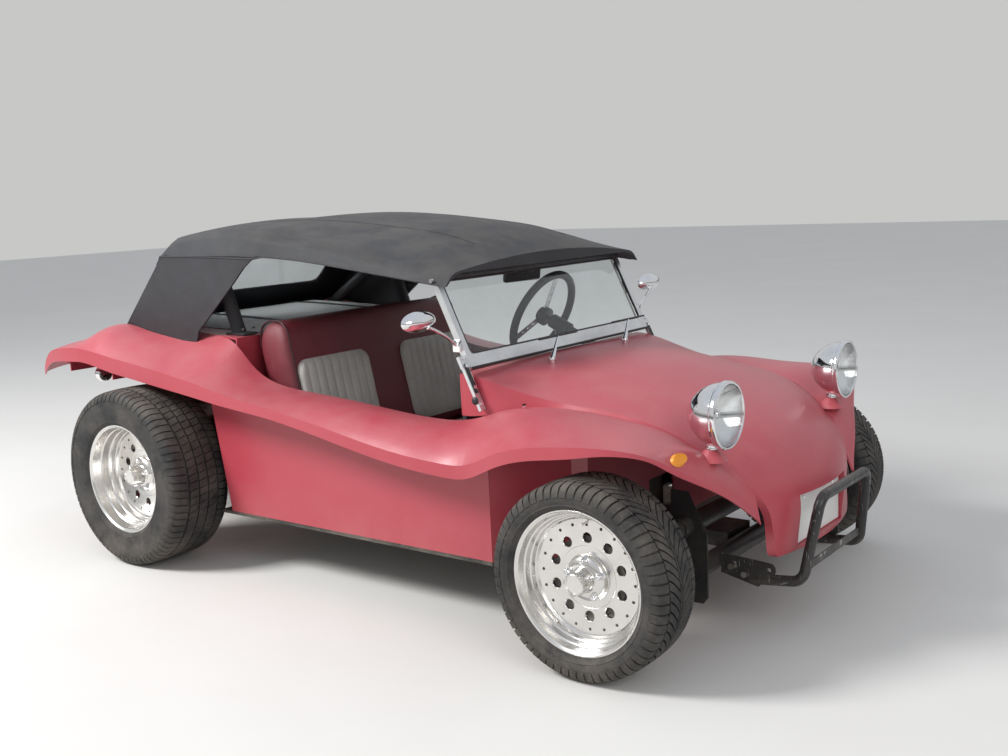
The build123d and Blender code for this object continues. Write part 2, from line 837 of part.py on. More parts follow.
def inner_edge(skin):
    """Plan of a flank's inner edge as points (x, distance from the middle), tail first."""
    long = [edge for edge in skin.edges() if edge.length > wheelbase / 2]
    pair = sorted(long, key=lambda edge: abs(edge.center().Y))[:2]
    steps = 80
    upper, lower = [
        sorted((point.X, abs(point.Y)) for point in [edge @ (i / steps) for i in range(steps + 1)])
        for edge in pair
    ]
    return [(x, min(y, y_low)) for (x, y), (x_low, y_low) in zip(upper, lower)]


def rear_deck(flanks):
    """Bulkhead behind the seat, luggage deck and tail panel, in one moulding."""
    half = tub_half_width
    tail = ahead_of_rear(deck_line[-1][0] - 4)
    front = ahead_of_rear(deck_line[0][0])
    edge = [(x, y - panel_gap) for x, y in inner_edge(flanks[0]) if x < front]
    edge = [(tail, edge[0][1])] + edge + [(front, edge[-1][1])]
    foot = floor_top + tunnel_height + 20
    tail_foot = (deck_line[-1][0], tail_floor)
    outer = [(392, foot)] + deck_line + [tail_foot]
    inner = [(x, z - shell) for x, z in deck_line[1:-1]]
    inner = [(392 - shell, foot), (392 - shell, 844)] + inner + [(-770, 689), (-770, tail_floor)]
    inner.reverse()
    points = [(ahead_of_rear(x), z) for x, z in outer + inner]
    wide = edge[-1][1]
    plan = make_face(Polyline(*edge, *[(x, -y) for x, y in reversed(edge)], close=True))
    deck = side_profile(points, -wide, wide) & extrude(plan, 1000)
    bulkhead_half = sill_half_width - shell - panel_gap
    quarter = [(bulkhead_half, foot), (bulkhead_half, 750), (wide, 818), (half, 846)]
    bulkhead = [(points[-1][0], y, z) for y, z in quarter]
    bulkhead += [(x, -y, z) for x, y, z in reversed(bulkhead)]
    deck += extrude(make_face(Polyline(*bulkhead, close=True)), shell, dir=(1, 0, 0))
    for side in (-1, 1):
        y_low, y_high = sorted((side * 300, side * (deck_half_width + 1)))
        deck -= box_between((ahead_of_rear(-780), y_low, 580), (ahead_of_rear(-765), y_high, 655))
    return largest(deck)


def dashboard():
    """Panel below the windscreen with a rolled lower edge."""
    x = ahead_of_front(screen_base_forward - 40) - panel_gap
    points = [
        (x - 12, 604),
        (x - 6, 600),
        (x, 604),
        (x, 776),
        (x - 8, 780),
        (x - 20, 768),
        (x - 20, 700),
    ]
    panel = side_profile(points, -515, 515)
    return panel - rod(column_point(150), column_point(560), 19 + seat_gap)


# Windscreen: drawn in its own leaning plane


def screen_top_z():
    """Highest point of the windscreen frame."""
    lean = math.radians(screen_lean)
    rise = screen_height * math.cos(lean) + screen_frame_depth / 2 * math.sin(lean)
    return screen_base_z + rise


def screen_plane():
    """Plane of the leaning frame, with its origin at the middle of its foot."""
    origin = (ahead_of_front(screen_base_forward), 0, screen_base_z)
    lean = math.radians(screen_lean)
    return Plane(
        origin=origin, x_dir=(0, 1, 0), z_dir=(math.cos(lean), 0, math.sin(lean))
    )


def windscreen_frame():
    """Drawn frame with two flat legs that run down outside the scuttle."""
    plane = screen_plane()
    width = 2 * screen_half_width
    outline = Pos(0, screen_height / 2) * Rectangle(width, screen_height)
    opening_height = screen_height - screen_sill_bar - screen_bar
    opening_centre = screen_sill_bar + opening_height / 2
    opening = Pos(0, opening_centre) * Rectangle(width - 2 * screen_bar, opening_height)
    frame = extrude(plane * (outline - opening), screen_frame_depth / 2, both=True)
    inner = screen_half_width + 5
    lap = screen_sill_bar
    for side in (-1, 1):
        leg = Pos(side * (inner + screen_leg_width / 2), (lap - screen_leg_length) / 2) * Rectangle(
            screen_leg_width, lap + screen_leg_length
        )
        leg += Pos(side * (inner - 4 + screen_leg_width / 2), (lap + 6) / 2) * Rectangle(
            screen_leg_width + 16, lap - 6
        )
        frame += extrude(plane * leg, screen_frame_depth / 4, both=True)
    return frame


def windscreen_pane():
    plane = screen_plane()
    width = 2 * (screen_half_width - screen_bar - seat_gap)
    height = screen_height - screen_sill_bar - screen_bar - 2 * seat_gap
    centre = screen_sill_bar + seat_gap + height / 2
    pane = Pos(0, centre) * Rectangle(width, height)
    return extrude(plane * pane, glass_thickness / 2, both=True)


# Hardtop

# anchor, x, crown height, ridge (y, z), drop edge (y, z)
roof_table = [
    ("front", -602, 1131, (535, 1095), (573, 1054)),
    ("front", -690, 1172, (542, 1108), (574, 1066)),
    ("front", -800, 1212, (550, 1124), (575, 1080)),
    ("front", -972, 1243, (550, 1155), (575, 1102)),
    ("front", -1232, 1268, (550, 1198), (577, 1134)),
    ("rear", 500, 1277, (550, 1232), (580, 1150)),
    ("rear", 150, 1267, (550, 1228), (580, 1150)),
    ("rear", 20, 1240, (549, 1205), (580, 1150)),
]
ridge_tangent = 30.0
quarter_top = 1152.0
quarter_y = 580.0
quarter_lean = 3.2
rear_wall_top = (150.0, 1264.0)
rear_wall_foot_x = -262.0
rear_window_width = 760.0
rear_window_height = 250.0


def rounded_ridge(crown_end, ridge, drop, tangent):
    """Arc in the corner at the ridge: its start on the crown, its middle and its end."""
    a = Vector(*crown_end) - Vector(*ridge)
    b = Vector(*drop) - Vector(*ridge)
    half = math.radians(a.get_angle(b)) / 2
    a, b = a.normalized(), b.normalized()
    depth = tangent / math.cos(half) - tangent * math.tan(half)
    middle = Vector(*ridge) + (a + b).normalized() * depth
    ends = [Vector(*ridge) + a * tangent, middle, Vector(*ridge) + b * tangent]
    return [(point.X, point.Y) for point in ends]


def roof_wire(x, crown, ridge, drop):
    """Section of the roof: flat crown, rounded ridges and sides that drop."""
    (yr, zr), (yd, zd) = ridge, drop
    t = roof_thickness
    outer = rounded_ridge((0, crown), ridge, drop, ridge_tangent)
    inner_ridge = (yr - t, zr - t)
    inner = rounded_ridge((0, crown - t), inner_ridge, (yd - t, zd), ridge_tangent - t)

    def flip(points):
        return [(-y, z) for y, z in reversed(points)]

    outer_left, inner_left = flip(outer), flip(inner)
    runs = [
        ((-yd, zd), outer_left[0]),
        outer_left,
        (outer_left[2], (0, crown), outer[0]),
        outer,
        (outer[2], (yd, zd)),
        ((yd, zd), (yd - t, zd)),
        ((yd - t, zd), inner[2]),
        inner[::-1],
        (inner[0], (0, crown - t), inner_left[2]),
        inner_left[::-1],
        (inner_left[0], (t - yd, zd)),
        ((t - yd, zd), (-yd, zd)),
    ]
    return wire_of(lambda y, z: (x, -y, z), runs)


def rear_wall_plane():
    """Outer face of the sloping rear wall: origin at its foot, x along Y, y up the slope."""
    foot_z = deck_height(rear_wall_foot_x) + seat_gap
    rise = rear_wall_top[1] - foot_z
    run = rear_wall_top[0] - rear_wall_foot_x
    return Plane(
        origin=(ahead_of_rear(rear_wall_foot_x), 0, foot_z), x_dir=(0, -1, 0), z_dir=(-rise, 0, run)
    )


def rear_wall_slope():
    """Length of the rear wall from its foot to the roof."""
    plane = rear_wall_plane()
    return math.hypot(ahead_of_rear(rear_wall_top[0]) - plane.origin.X, rear_wall_top[1] - plane.origin.Z)


def quarter_panel(fender):
    """Right-hand quarter panel, long enough to be cut to the rear fender that it stands on."""
    y = -quarter_y + 22
    foot = []
    for x in (-235, -180, -128, -60, 0, 70, 137, 185):
        place = ahead_of_rear(x)
        foot.append((place, top_of(fender, place, y) - shell / 2))
    front = [(205, 872), (296, 943), (414, 1036), (500, 1108), (540, 1134), (600, quarter_top)]
    points = foot + [(ahead_of_rear(x), z) for x, z in front]
    points.append((ahead_of_rear(40), quarter_top))
    panel = side_profile(points, -quarter_y, -quarter_y + roof_thickness)
    hinge = Pos(0, -quarter_y, quarter_top)
    return hinge * Rot(quarter_lean, 0, 0) * Pos(0, quarter_y, -quarter_top) * panel


def hardtop(fender, flanks):
    """Roof with rear quarter panels and a sloping rear wall with its window opening."""
    t = roof_thickness
    wires = []
    for anchor, x, *section in roof_table:
        place = ahead_of_rear(x) if anchor == "rear" else ahead_of_front(x)
        wires.append(roof_wire(place, *section))
    plane = rear_wall_plane()
    behind = extrude(plane * Rectangle(1400, 1600), 600)
    top_shell = loft_of(wires) - behind
    for panel in both_sides(largest(quarter_panel(fender) - behind)).values():
        top_shell += panel
    slope = rear_wall_slope()
    steep = slope / (rear_wall_top[1] - plane.origin.Z)
    shoulder = (quarter_top - plane.origin.Z) * steep
    ridge = (1218 - plane.origin.Z) * steep
    foot = -30
    sides = [(-560, foot), (-576, shoulder), (-543, ridge)]
    outline = [
        Polyline(*sides),
        ThreePointArc(sides[-1], (0, slope - 4), (543, ridge)),
        Polyline((543, ridge), (576, shoulder), (560, foot), (-560, foot)),
    ]
    wall = make_face(Wire([edge for run in outline for edge in run.edges()]))
    wall -= Pos(0, slope / 2) * Rectangle(rear_window_width, rear_window_height)
    top_shell += extrude(plane * wall, -t)
    seats = [Pos(0, 0, seat_gap) * side for side in flanks]
    below_deck = deck_line + [(deck_line[-1][0], tail_floor), (deck_line[0][0], tail_floor)]
    seats.append(
        side_profile(
            [(ahead_of_rear(x), z + wall_gap) for x, z in below_deck], -deck_half_width, deck_half_width
        )
    )
    for seat in seats:
        top_shell -= seat
    top_shell = largest(top_shell)
    rail_x = ahead_of_front(roof_table[0][1])
    rail_low = screen_top_z() + seat_gap
    arc = ThreePointArc((rail_x, -480, 1097), (rail_x, 0, 1126), (rail_x, 480, 1097))
    rail = Wire(
        [arc.edge(), Line(arc @ 1, (rail_x, 480, rail_low)).edge(),
         Line((rail_x, 480, rail_low), (rail_x, -480, rail_low)).edge(),
         Line((rail_x, -480, rail_low), arc @ 0).edge()]
    )
    return top_shell + extrude(Face(rail), 60, dir=(-1, 0, 0))


def rear_pane():
    """Clear pane in the rear wall's opening."""
    pane = Rectangle(rear_window_width - 2 * seat_gap, rear_window_height - 2 * seat_gap)
    middle = Pos(0, rear_wall_slope() / 2)
    return extrude(rear_wall_plane().offset(-5) * middle * pane, 3)


# Roll hoop, seats and cockpit fittings


def roll_hoop():
    """Padded hoop behind the seat with two rear stays and foot plates on the deck."""
    plate = 7.0
    foot_forward, stay_forward = 330, -150
    foot_low = deck_height(foot_forward - 50) + seat_gap
    stay_low = deck_height(stay_forward - 40) + seat_gap
    foot_x = ahead_of_rear(foot_forward)
    top_x = ahead_of_rear(205)
    top_z = 1160.0
    stay_x = ahead_of_rear(stay_forward)
    y = hoop_half_width
    start = foot_low - hoop_tube_radius
    hoop = pipe(
        [(foot_x, -y, start), (top_x, -y, top_z), (top_x, y, top_z), (foot_x, y, start)],
        90,
        hoop_tube_radius,
    )
    for side in (-1, 1):
        hoop += rod(
            (stay_x, side * y, stay_low - plate),
            (top_x + 20, side * y, top_z - 60),
            hoop_tube_radius - 3,
        )
    for side in (-1, 1):
        for x, low, half in ((foot_x, foot_low, 50), (stay_x, stay_low, 40)):
            hoop -= box_between((x - 90, side * y - 60, 780), (x + 90, side * y + 60, low))
            hoop += box_between(
                (x - half, side * y - 33, low), (x + half, side * y + 33, low + plate)
            )
    return hoop


def backrest():
    """Bench backrest across the cockpit with a thick rolled top."""
    half = tub_half_width - 4
    points = [
        (ahead_of_rear(540), cushion_top + seat_gap),
        (ahead_of_rear(690), cushion_top + seat_gap),
        (ahead_of_rear(590), 800),
        (ahead_of_rear(575), 880),
        (ahead_of_rear(530), 910),
        (ahead_of_rear(470), 910),
        (ahead_of_rear(430), 880),
        (ahead_of_rear(430), 800),
    ]
    return side_profile(points, -half, half)


def seat_cushions():
    """Two seat squabs, one each side of the tunnel."""
    cushion = box_between(
        (ahead_of_rear(560), -tub_half_width, floor_top + seat_gap),
        (ahead_of_rear(1090), -tunnel_half_width - 12, cushion_top),
    )
    return pair(cushion)


def controls():
    """Gear lever on the tunnel, and three hanging pedals from the toe board."""
    base = floor_top + tunnel_height
    x = ahead_of_front(-760)
    lever = rod((x, 0, base + 5), (x - 60, 0, base + 230), 6)
    lever += Pos(x - 60, 0, base + 236) * Sphere(22)
    lever += Pos(x, 0, base + 6 + seat_gap) * Cylinder(30, 12)
    parts = [lever]
    wall = ahead_of_front(-190) - shell - seat_gap
    for y in (150, 215, 370):
        pedal = rod((wall - 4, y, 300), (wall - 60, y, 330), 7)
        pedal += rod((wall, y, 300), (wall - 6, y, 300), 12)
        pedal += Pos(wall - 62, y, 345) * Box(8, 52, 70)
        parts.append(pedal)
    return Compound(children=parts)


# Lamps, bumper and small fittings


def dome(radius, depth):
    """Part of a ball about X: flat at x = 0, with its pole at x = depth."""
    size = abs(depth)
    ball = (radius * radius + size * size) / (2 * size)
    half = math.atan2(radius, ball - size) / 2
    middle = math.copysign(ball * math.cos(half) - ball + size, depth)
    edges = [
        Line((0, 0, 0), (0, 0, radius)),
        ThreePointArc((0, 0, radius), (middle, 0, ball * math.sin(half)), (depth, 0, 0)),
        Line((depth, 0, 0), (0, 0, 0)),
    ]
    face = Face(Wire([edge.edge() for edge in edges]))
    return Solid.revolve(face, 360, Axis((0, 0, 0), (1, 0, 0)))


def headlamps():
    """Chrome bowls on short stalks."""
    x = ahead_of_front(lamp_forward)
    bowl = dome(lamp_radius - 4, -118)
    ring = Rot(0, 90, 0) * Cylinder(lamp_radius, 14)
    lamp = Pos(x, -lamp_y, lamp_z) * (bowl + Pos(-5, 0, 0) * ring)
    stalk_x = ahead_of_front(lamp_stalk_forward)
    foot = lamp_pod_top + seat_gap
    lamp += rod((stalk_x, -lamp_y, foot), (stalk_x, -lamp_y, lamp_z - 50), 11)
    lamp += rod((stalk_x, -lamp_y, foot), (stalk_x, -lamp_y, foot + 6), lamp_pod_radius)
    return pair(lamp)


def headlamp_lenses():
    """Domed glass in front of each bowl."""
    x = ahead_of_front(lamp_forward) + 2 + seat_gap
    lens = Pos(x, -lamp_y, lamp_z) * dome(lamp_radius - 8, 12)
    return pair(lens)


def indicators(fender):
    """Oval amber lamps on the front of each fender."""
    point, normal = crossings(fender, ahead_of_front(indicator_forward), -indicator_y)[0]
    gasket = point + normal * 2 * panel_gap
    seat = Plane(origin=gasket, x_dir=(0, 1, 0), z_dir=normal)
    oval = Ellipse(indicator_half_width, indicator_half_height)
    return pair(extrude(seat * oval, indicator_depth, taper=20))


def tail_lamps(fender):
    """Round lamps hanging below the tail on short stalks."""
    x = ahead_of_rear(-420)
    y, z, radius = -575, 678, 34
    lamp = rod((x + 25, y, z), (x - 25, y, z), radius)
    under = underside_of(fender, x, y) - panel_gap - 2
    lamp += rod((x, y, z + radius - 2), (x, y, under), 6)
    return pair(lamp)


def mirrors():
    """Door mirrors on stalks from the windscreen posts."""
    x = ahead_of_front(-607)
    oval = Plane(origin=(x - 12, -702, 965), x_dir=(0, 1, 0), z_dir=(1, 0, 0))
    head = extrude(oval * Ellipse(55, 37), 24)
    head += rod((x, -690, 935), (ahead_of_front(-592), -screen_half_width - 8, 870), 5)
    head += Pos(ahead_of_front(-592), -screen_half_width - 6, 868) * Box(30, 11, 40)
    return pair(head)


def wipers(scuttle):
    """Two short wiper arms from spindles on the scuttle."""
    x = ahead_of_front(hood_table[1][0][0])
    parts = []
    for y in (-249, 214):
        base = top_of(scuttle, x, y - math.copysign(8, y)) + seat_gap
        arm = rod((x, y, base), (x, y, base + 22), 8)
        arm += rod((x, y, base + 16), (x - 70, y - 8, base + 66), 5)
        parts.append(arm)
    return Compound(children=parts)


def front_bumper():
    """Tube hoop in front of the nose with its two mounting plates and a cross strip."""
    y_low, y_top = 235.0, 182.0
    points = [
        (ahead_of_front(240), -y_low, 165),
        (ahead_of_front(400), -y_low + 10, 180),
        (ahead_of_front(438), -y_top, 428),
        (ahead_of_front(438), y_top, 428),
        (ahead_of_front(400), y_low - 10, 180),
        (ahead_of_front(240), y_low, 165),
    ]
    hoop = pipe(points, 42, bumper_tube_radius)
    for side in (-1, 1):
        y = side * (y_low + 8)
        hoop += side_profile(
            [
                (ahead_of_front(beam_forward + beam_tube_radius + seat_gap), 175),
                (ahead_of_front(270), 148),
                (ahead_of_front(tow_eye_forward), tow_eye_z - tow_eye_radius),
                (ahead_of_front(tow_eye_forward), tow_eye_z + tow_eye_radius),
                (ahead_of_front(beam_forward + beam_tube_radius + seat_gap), 235),
            ],
            y - 3,
            y + 3,
        )
        eye = (ahead_of_front(tow_eye_forward), tow_eye_z)
        hoop += rod((eye[0], y - 3, eye[1]), (eye[0], y + 3, eye[1]), tow_eye_radius)
        hoop -= rod((eye[0], y - 9, eye[1]), (eye[0], y + 9, eye[1]), tow_hole_radius)
    hoop += box_between(
        (ahead_of_front(404), -y_low + 12, 210), (ahead_of_front(409), y_low - 12, 234)
    )
    return hoop


def number_plates():
    """Blank plates: on the nose and on the tail."""
    half = plate_width / 2
    low = plate_middle_z - plate_height / 2
    x = ahead_of_front(recess_forward) + seat_gap
    front = box_between((x, -half, low), (x + 1.5, half, low + plate_height))
    rear = box_between((ahead_of_rear(-777.8), -170, 575), (ahead_of_rear(-776.3), 170, 685))
    return Compound(children=[front, rear])


def build():
    """Every node of the vehicle by name."""
    skin = flank()
    flanks = list(both_sides(skin).values())
    crown_skin = hood_skin()
    fender = front_fender(skin)
    tail_fender = rear_fender(skin)
    nodes = {
        "floor_pan": floor_pan(),
        "front_beam": front_beam(),
        "rear_axle": rear_axle(),
        "engine": engine(),
        "exhaust": exhaust(),
        "hood": hood(crown_skin, flanks),
        "nose_panel": nose_panel(crown_skin, flanks),
        "front_fenders": pair(fender),
        "body_sides": pair(body_side(skin)),
        "rear_fenders": pair(tail_fender),
        "footwell": footwell(),
        "rear_deck": rear_deck(flanks),
        "dashboard": dashboard(),
        "windscreen_frame": windscreen_frame(),
        "windows": Compound(children=[windscreen_pane(), rear_pane()]),
        "hardtop": hardtop(tail_fender, flanks),
        "roll_hoop": roll_hoop(),
        "backrest": backrest(),
        "seat_cushions": seat_cushions(),
        "controls": controls(),
        "steering_column": steering_column(),
        "steering_wheel": steering_wheel(),
        "steering_box": steering_box(),
        "pitman_arm": pitman_arm(),
        "headlamps": headlamps(),
        "headlamp_lenses": headlamp_lenses(),
        "indicators": indicators(fender),
        "tail_lamps": tail_lamps(tail_fender),
        "mirrors": mirrors(),
        "wipers": wipers(crown_skin),
        "front_bumper": front_bumper(),
        "number_plates": number_plates(),
        "suspension_arms": pair(suspension_side()),
        "tie_rod_left": tie_rod(1),
        "tie_rod_right": tie_rod(-1),
    }
    paired = {"knuckle": knuckle()}
    wheels = {
        "front": (front_tyre_radius, front_tyre_width, front_rim_width, front_dish,
                  front_centre, front_axle_x),
        "rear": (rear_tyre_radius, rear_tyre_width, rear_rim_width, rear_dish,
                 rear_centre, rear_axle_x),
    }
    for end, (radius, width, rim_width, dish, centre, axle_x) in wheels.items():
        paired[end + "_tyre"] = tyre(radius, width, rim_width, centre, axle_x)
        paired[end + "_rim"] = rim(radius, rim_width, dish, centre, axle_x)
        paired[end + "_drum"] = drum(radius, rim_width, dish, centre, axle_x)
    for name, solid in paired.items():
        for side, piece in both_sides(solid).items():
            nodes[name + "_" + side] = piece
    return nodes


os.makedirs("parts", exist_ok=True)
for node_name, node in build().items():
    export_step(node, "parts/" + node_name + ".step")
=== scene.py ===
import json
import math

import bpy
from mathutils import Matrix, Vector


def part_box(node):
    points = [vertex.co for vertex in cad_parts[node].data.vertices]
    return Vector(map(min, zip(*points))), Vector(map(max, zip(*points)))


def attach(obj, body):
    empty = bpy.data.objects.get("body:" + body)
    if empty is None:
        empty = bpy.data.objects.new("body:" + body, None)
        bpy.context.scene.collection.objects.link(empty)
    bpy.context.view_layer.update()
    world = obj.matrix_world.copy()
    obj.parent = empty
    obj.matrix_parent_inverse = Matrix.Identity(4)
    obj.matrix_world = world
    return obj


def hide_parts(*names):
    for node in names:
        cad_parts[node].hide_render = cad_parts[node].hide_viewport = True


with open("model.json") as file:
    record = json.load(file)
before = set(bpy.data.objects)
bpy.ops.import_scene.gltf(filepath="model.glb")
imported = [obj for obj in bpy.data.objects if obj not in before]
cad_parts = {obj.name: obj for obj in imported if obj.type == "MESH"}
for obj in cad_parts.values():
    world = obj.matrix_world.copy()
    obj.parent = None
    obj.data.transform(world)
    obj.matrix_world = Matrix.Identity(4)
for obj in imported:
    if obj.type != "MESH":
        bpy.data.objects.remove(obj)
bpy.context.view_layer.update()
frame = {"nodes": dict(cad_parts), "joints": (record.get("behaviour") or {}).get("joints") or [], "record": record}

# Looks of an open two-seat buggy with a hardtop. Metres: +X forward, +Y left, +Z up.

joints = {joint["name"]: joint for joint in frame["joints"]}
nodes = frame["nodes"]
front_axle = Vector(joints["front_right_wheel_spin"]["pos_m"])
rear_axle = Vector(joints["rear_right_wheel_spin"]["pos_m"])


# Modelling helpers


def only(obj):
    """Leaves this object alone selected and active."""
    bpy.ops.object.select_all(action="DESELECT")
    obj.select_set(True)
    bpy.context.view_layer.objects.active = obj
    return obj


def named(name):
    """Names the active object and its mesh."""
    obj = bpy.context.view_layer.objects.active
    obj.name = obj.data.name = name
    return obj


def linked(name, data):
    """Object for some data, in the scene."""
    obj = bpy.data.objects.new(name, data)
    bpy.context.scene.collection.objects.link(obj)
    return obj


def add(primitive, name, stretch=(1, 1, 1), **options):
    """Adds a primitive, with its place, turn and stretch put into its mesh."""
    bpy.ops.object.select_all(action="DESELECT")
    getattr(bpy.ops.mesh, "primitive_" + primitive + "_add")(**options)
    obj = named(name)
    obj.scale = stretch
    bpy.ops.object.transform_apply(location=True, rotation=True, scale=True)
    return obj


def slab(name, size, place=(0, 0, 0)):
    """Box of a size about a place."""
    return add("cube", name, size, size=1, location=place)


def ball(name, radius, place=(0, 0, 0), stretch=(1, 1, 1), segments=16, rings=10):
    """Round or stretched ball about a place."""
    return add("uv_sphere", name, stretch, segments=segments, ring_count=rings, radius=radius, location=place)


def rod(name, radius, low, high, place=(0, 0), vertices=24):
    """Upright rod between two heights."""
    middle = (place[0], place[1], (low + high) / 2)
    return add("cylinder", name, vertices=vertices, radius=radius, depth=high - low, location=middle)


def axle_rod(name, radius, low, high, height, vertices=16):
    """Rod along the axle between two distances outward, at a height above it."""
    return add(
        "cylinder", name, vertices=vertices, radius=radius, depth=high - low,
        rotation=(math.pi / 2, 0, 0), location=(0, -(low + high) / 2, height),
    )


def drawn(name, points, faces=(), closed=True):
    """Mesh of an outline, or of faces over its points."""
    mesh = bpy.data.meshes.new(name)
    edges = []
    if not faces:
        last = len(points) if closed else len(points) - 1
        edges = [(i, (i + 1) % len(points)) for i in range(last)]
    mesh.from_pydata([tuple(p) for p in points], edges, list(faces))
    return only(linked(name, mesh))


def modifier(obj, kind, **settings):
    """Adds a modifier with its settings and applies it."""
    added = obj.modifiers.new(kind.title(), kind)
    for key, value in settings.items():
        setattr(added, key, value)
    only(obj)
    bpy.ops.object.modifier_apply(modifier=added.name)
    return obj


def cut_by(obj, cutter):
    """Takes a cutter's volume out of a piece and removes the cutter."""
    modifier(obj, "BOOLEAN", object=cutter, operation="DIFFERENCE", solver="EXACT")
    bpy.data.objects.remove(cutter)
    return obj


def outward(obj):
    """Merges doubles and turns every face outwards."""
    only(obj)
    bpy.ops.object.mode_set(mode="EDIT")
    bpy.ops.mesh.select_all(action="SELECT")
    bpy.ops.mesh.remove_doubles(threshold=1e-5)
    bpy.ops.mesh.normals_make_consistent(inside=False)
    bpy.ops.object.mode_set(mode="OBJECT")
    return obj


def smooth(obj, degrees=35):
    """Shades a piece smooth, with its edges above an angle left sharp."""
    only(obj)
    bpy.ops.object.shade_smooth_by_angle(angle=math.radians(degrees))
    return obj


def rounded(obj, width, segments=2, degrees=40):
    """Rounds the sharp edges."""
    return modifier(
        obj, "BEVEL", width=width, segments=segments, limit_method="ANGLE",
        angle_limit=math.radians(degrees), harden_normals=False, miter_outer="MITER_ARC",
    )


def join(name, pieces):
    """One object out of several, with the first one's data."""
    bpy.ops.object.select_all(action="DESELECT")
    for piece in pieces:
        piece.select_set(True)
    bpy.context.view_layer.objects.active = pieces[0]
    if len(pieces) > 1:
        bpy.ops.object.join()
    return named(name)


def changed(obj, matrix):
    """Moves or turns a piece in its mesh."""
    obj.data.transform(matrix)
    return obj


def moved(obj, place):
    return changed(obj, Matrix.Translation(place))


def facing(obj, ahead=True):
    """Turns a piece spun about the Y axis so that its outward end looks along +X, or along -X."""
    return changed(obj, Matrix.Rotation(math.pi / 2 if ahead else -math.pi / 2, 4, "Z"))


def mirrored(obj, name):
    """Copy on the other side of the car, with its faces still outwards."""
    twin = changed(linked(name, obj.data.copy()), Matrix.Diagonal((1, -1, 1, 1)))
    twin.data.flip_normals()
    return twin


def around_axle(obj, count):
    """Repeats a piece around the Y axis through the origin."""
    turn = linked("turn", None)
    turn.rotation_euler = (0, math.tau / count, 0)
    bpy.context.view_layer.update()
    modifier(
        obj, "ARRAY", count=count, use_relative_offset=False, use_object_offset=True,
        offset_object=turn, use_merge_vertices=False,
    )
    bpy.data.objects.remove(turn)
    return obj


def turned(name, outline, steps=96, closed=True):
    """Outline of (outward, radius) points, spun about the Y axis: outward is -Y."""
    obj = drawn(name, [(0, -u, r) for u, r in outline], closed=closed)
    bpy.ops.object.mode_set(mode="EDIT")
    bpy.ops.mesh.select_all(action="SELECT")
    bpy.ops.mesh.spin(steps=steps, angle=math.tau, center=(0, 0, 0), axis=(0, 1, 0))
    bpy.ops.object.mode_set(mode="OBJECT")
    return outward(obj)


def flowing(points, steps=6):
    """Smooth line through a few points."""
    line = []
    for i in range(len(points) - 1):
        a, b, c, d = (Vector(points[min(max(i + k, 0), len(points) - 1)]) for k in (-1, 0, 1, 2))
        for k in range(steps):
            t = k / steps
            line.append(
                0.5 * (2 * b + (c - a) * t + (2 * a - 5 * b + 4 * c - d) * t * t
                       + (3 * b - a - 3 * c + d) * t ** 3)
            )
    line.append(Vector(points[-1]))
    return line


def bent(points, radius, steps=8):
    """Points of straight runs joined by arcs of one radius."""
    line = [Vector(points[0])]
    for a, b, c in zip(points, points[1:], points[2:]):
        a, b, c = Vector(a), Vector(b), Vector(c)
        back, on = (a - b).normalized(), (c - b).normalized()
        half = back.angle(on) / 2
        reach = min(radius / math.tan(half), 0.49 * (a - b).length, 0.49 * (c - b).length)
        start, end = b + back * reach, b + on * reach
        centre = b + (back + on).normalized() * reach / math.cos(half)
        first, last = (start - centre).normalized(), (end - centre).normalized()
        for k in range(steps + 1):
            line.append(centre + first.slerp(last, k / steps) * (start - centre).length)
    line.append(Vector(points[-1]))
    return line


def tube(name, points, radius, closed=False, sides=16):
    """Round tube along a line of points, as a mesh with closed ends."""
    curve = bpy.data.curves.new(name, "CURVE")
    curve.dimensions = "3D"
    curve.bevel_depth = radius
    curve.bevel_resolution = sides // 4 - 1
    curve.use_fill_caps = not closed
    spline = curve.splines.new("POLY")
    spline.points.add(len(points) - 1)
    for place, point in zip(spline.points, points):
        place.co = (*point, 1)
    spline.use_cyclic_u = closed
    only(linked(name, curve))
    bpy.ops.object.convert(target="MESH")
    return outward(named(name))


def on_surface(name, points, lift=0.0):
    """Points dropped onto a CAD node's nearest surface and lifted a little off it."""
    line = []
    for point in points:
        _, place, normal, _ = nodes[name].closest_point_on_mesh(Vector(point))
        line.append(place + normal * lift)
    return line


def kept(obj, label, slot, replaces=(), body="chassis", material=None):
    """A finished piece: it has its name and finish, rides on its body and stands for nodes."""
    obj.name = obj.data.name = label.replace(" ", "_")
    obj.data.materials.clear()
    obj.data.materials.append(material or finish[slot])
    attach(obj, body)
    if replaces:
        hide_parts(*replaces)
    return obj


def kept_pair(obj, label, slot, replaces=()):
    """Right-hand piece and its mirror image, both on the chassis."""
    left = mirrored(obj, "left " + label)
    kept(obj, "right " + label, slot, replaces)
    kept(left, "left " + label, slot, replaces)


# Shader helpers


def feed(tree, value, socket):
    """Links another socket to an input, or sets its value."""
    if isinstance(value, bpy.types.NodeSocket):
        tree.links.new(value, socket)
    else:
        socket.default_value = value


def node(tree, kind, **inputs):
    """Adds a node and sets its properties and inputs: an underscore stands for a blank."""
    made = tree.nodes.new("ShaderNode" + kind)
    for key, value in inputs.items():
        if hasattr(made, key) and key not in made.inputs:
            setattr(made, key, value)
        else:
            feed(tree, value, made.inputs[key.replace("_", " ")])
    return made


def maths(tree, operation, a, b=0.0, c=0.0):
    """One step of arithmetic on values or sockets."""
    made = node(tree, "Math", operation=operation)
    for socket, value in zip(made.inputs, (a, b, c)):
        feed(tree, value, socket)
    return made.outputs[0]


def blended(tree, mask, first, second):
    """Colour between two colours or sockets by a mask."""
    made = node(tree, "Mix", data_type="RGBA")
    for key, value in ((0, mask), (6, first), (7, second)):
        feed(tree, (*value, 1) if isinstance(value, tuple) else value, made.inputs[key])
    return made.outputs[2]


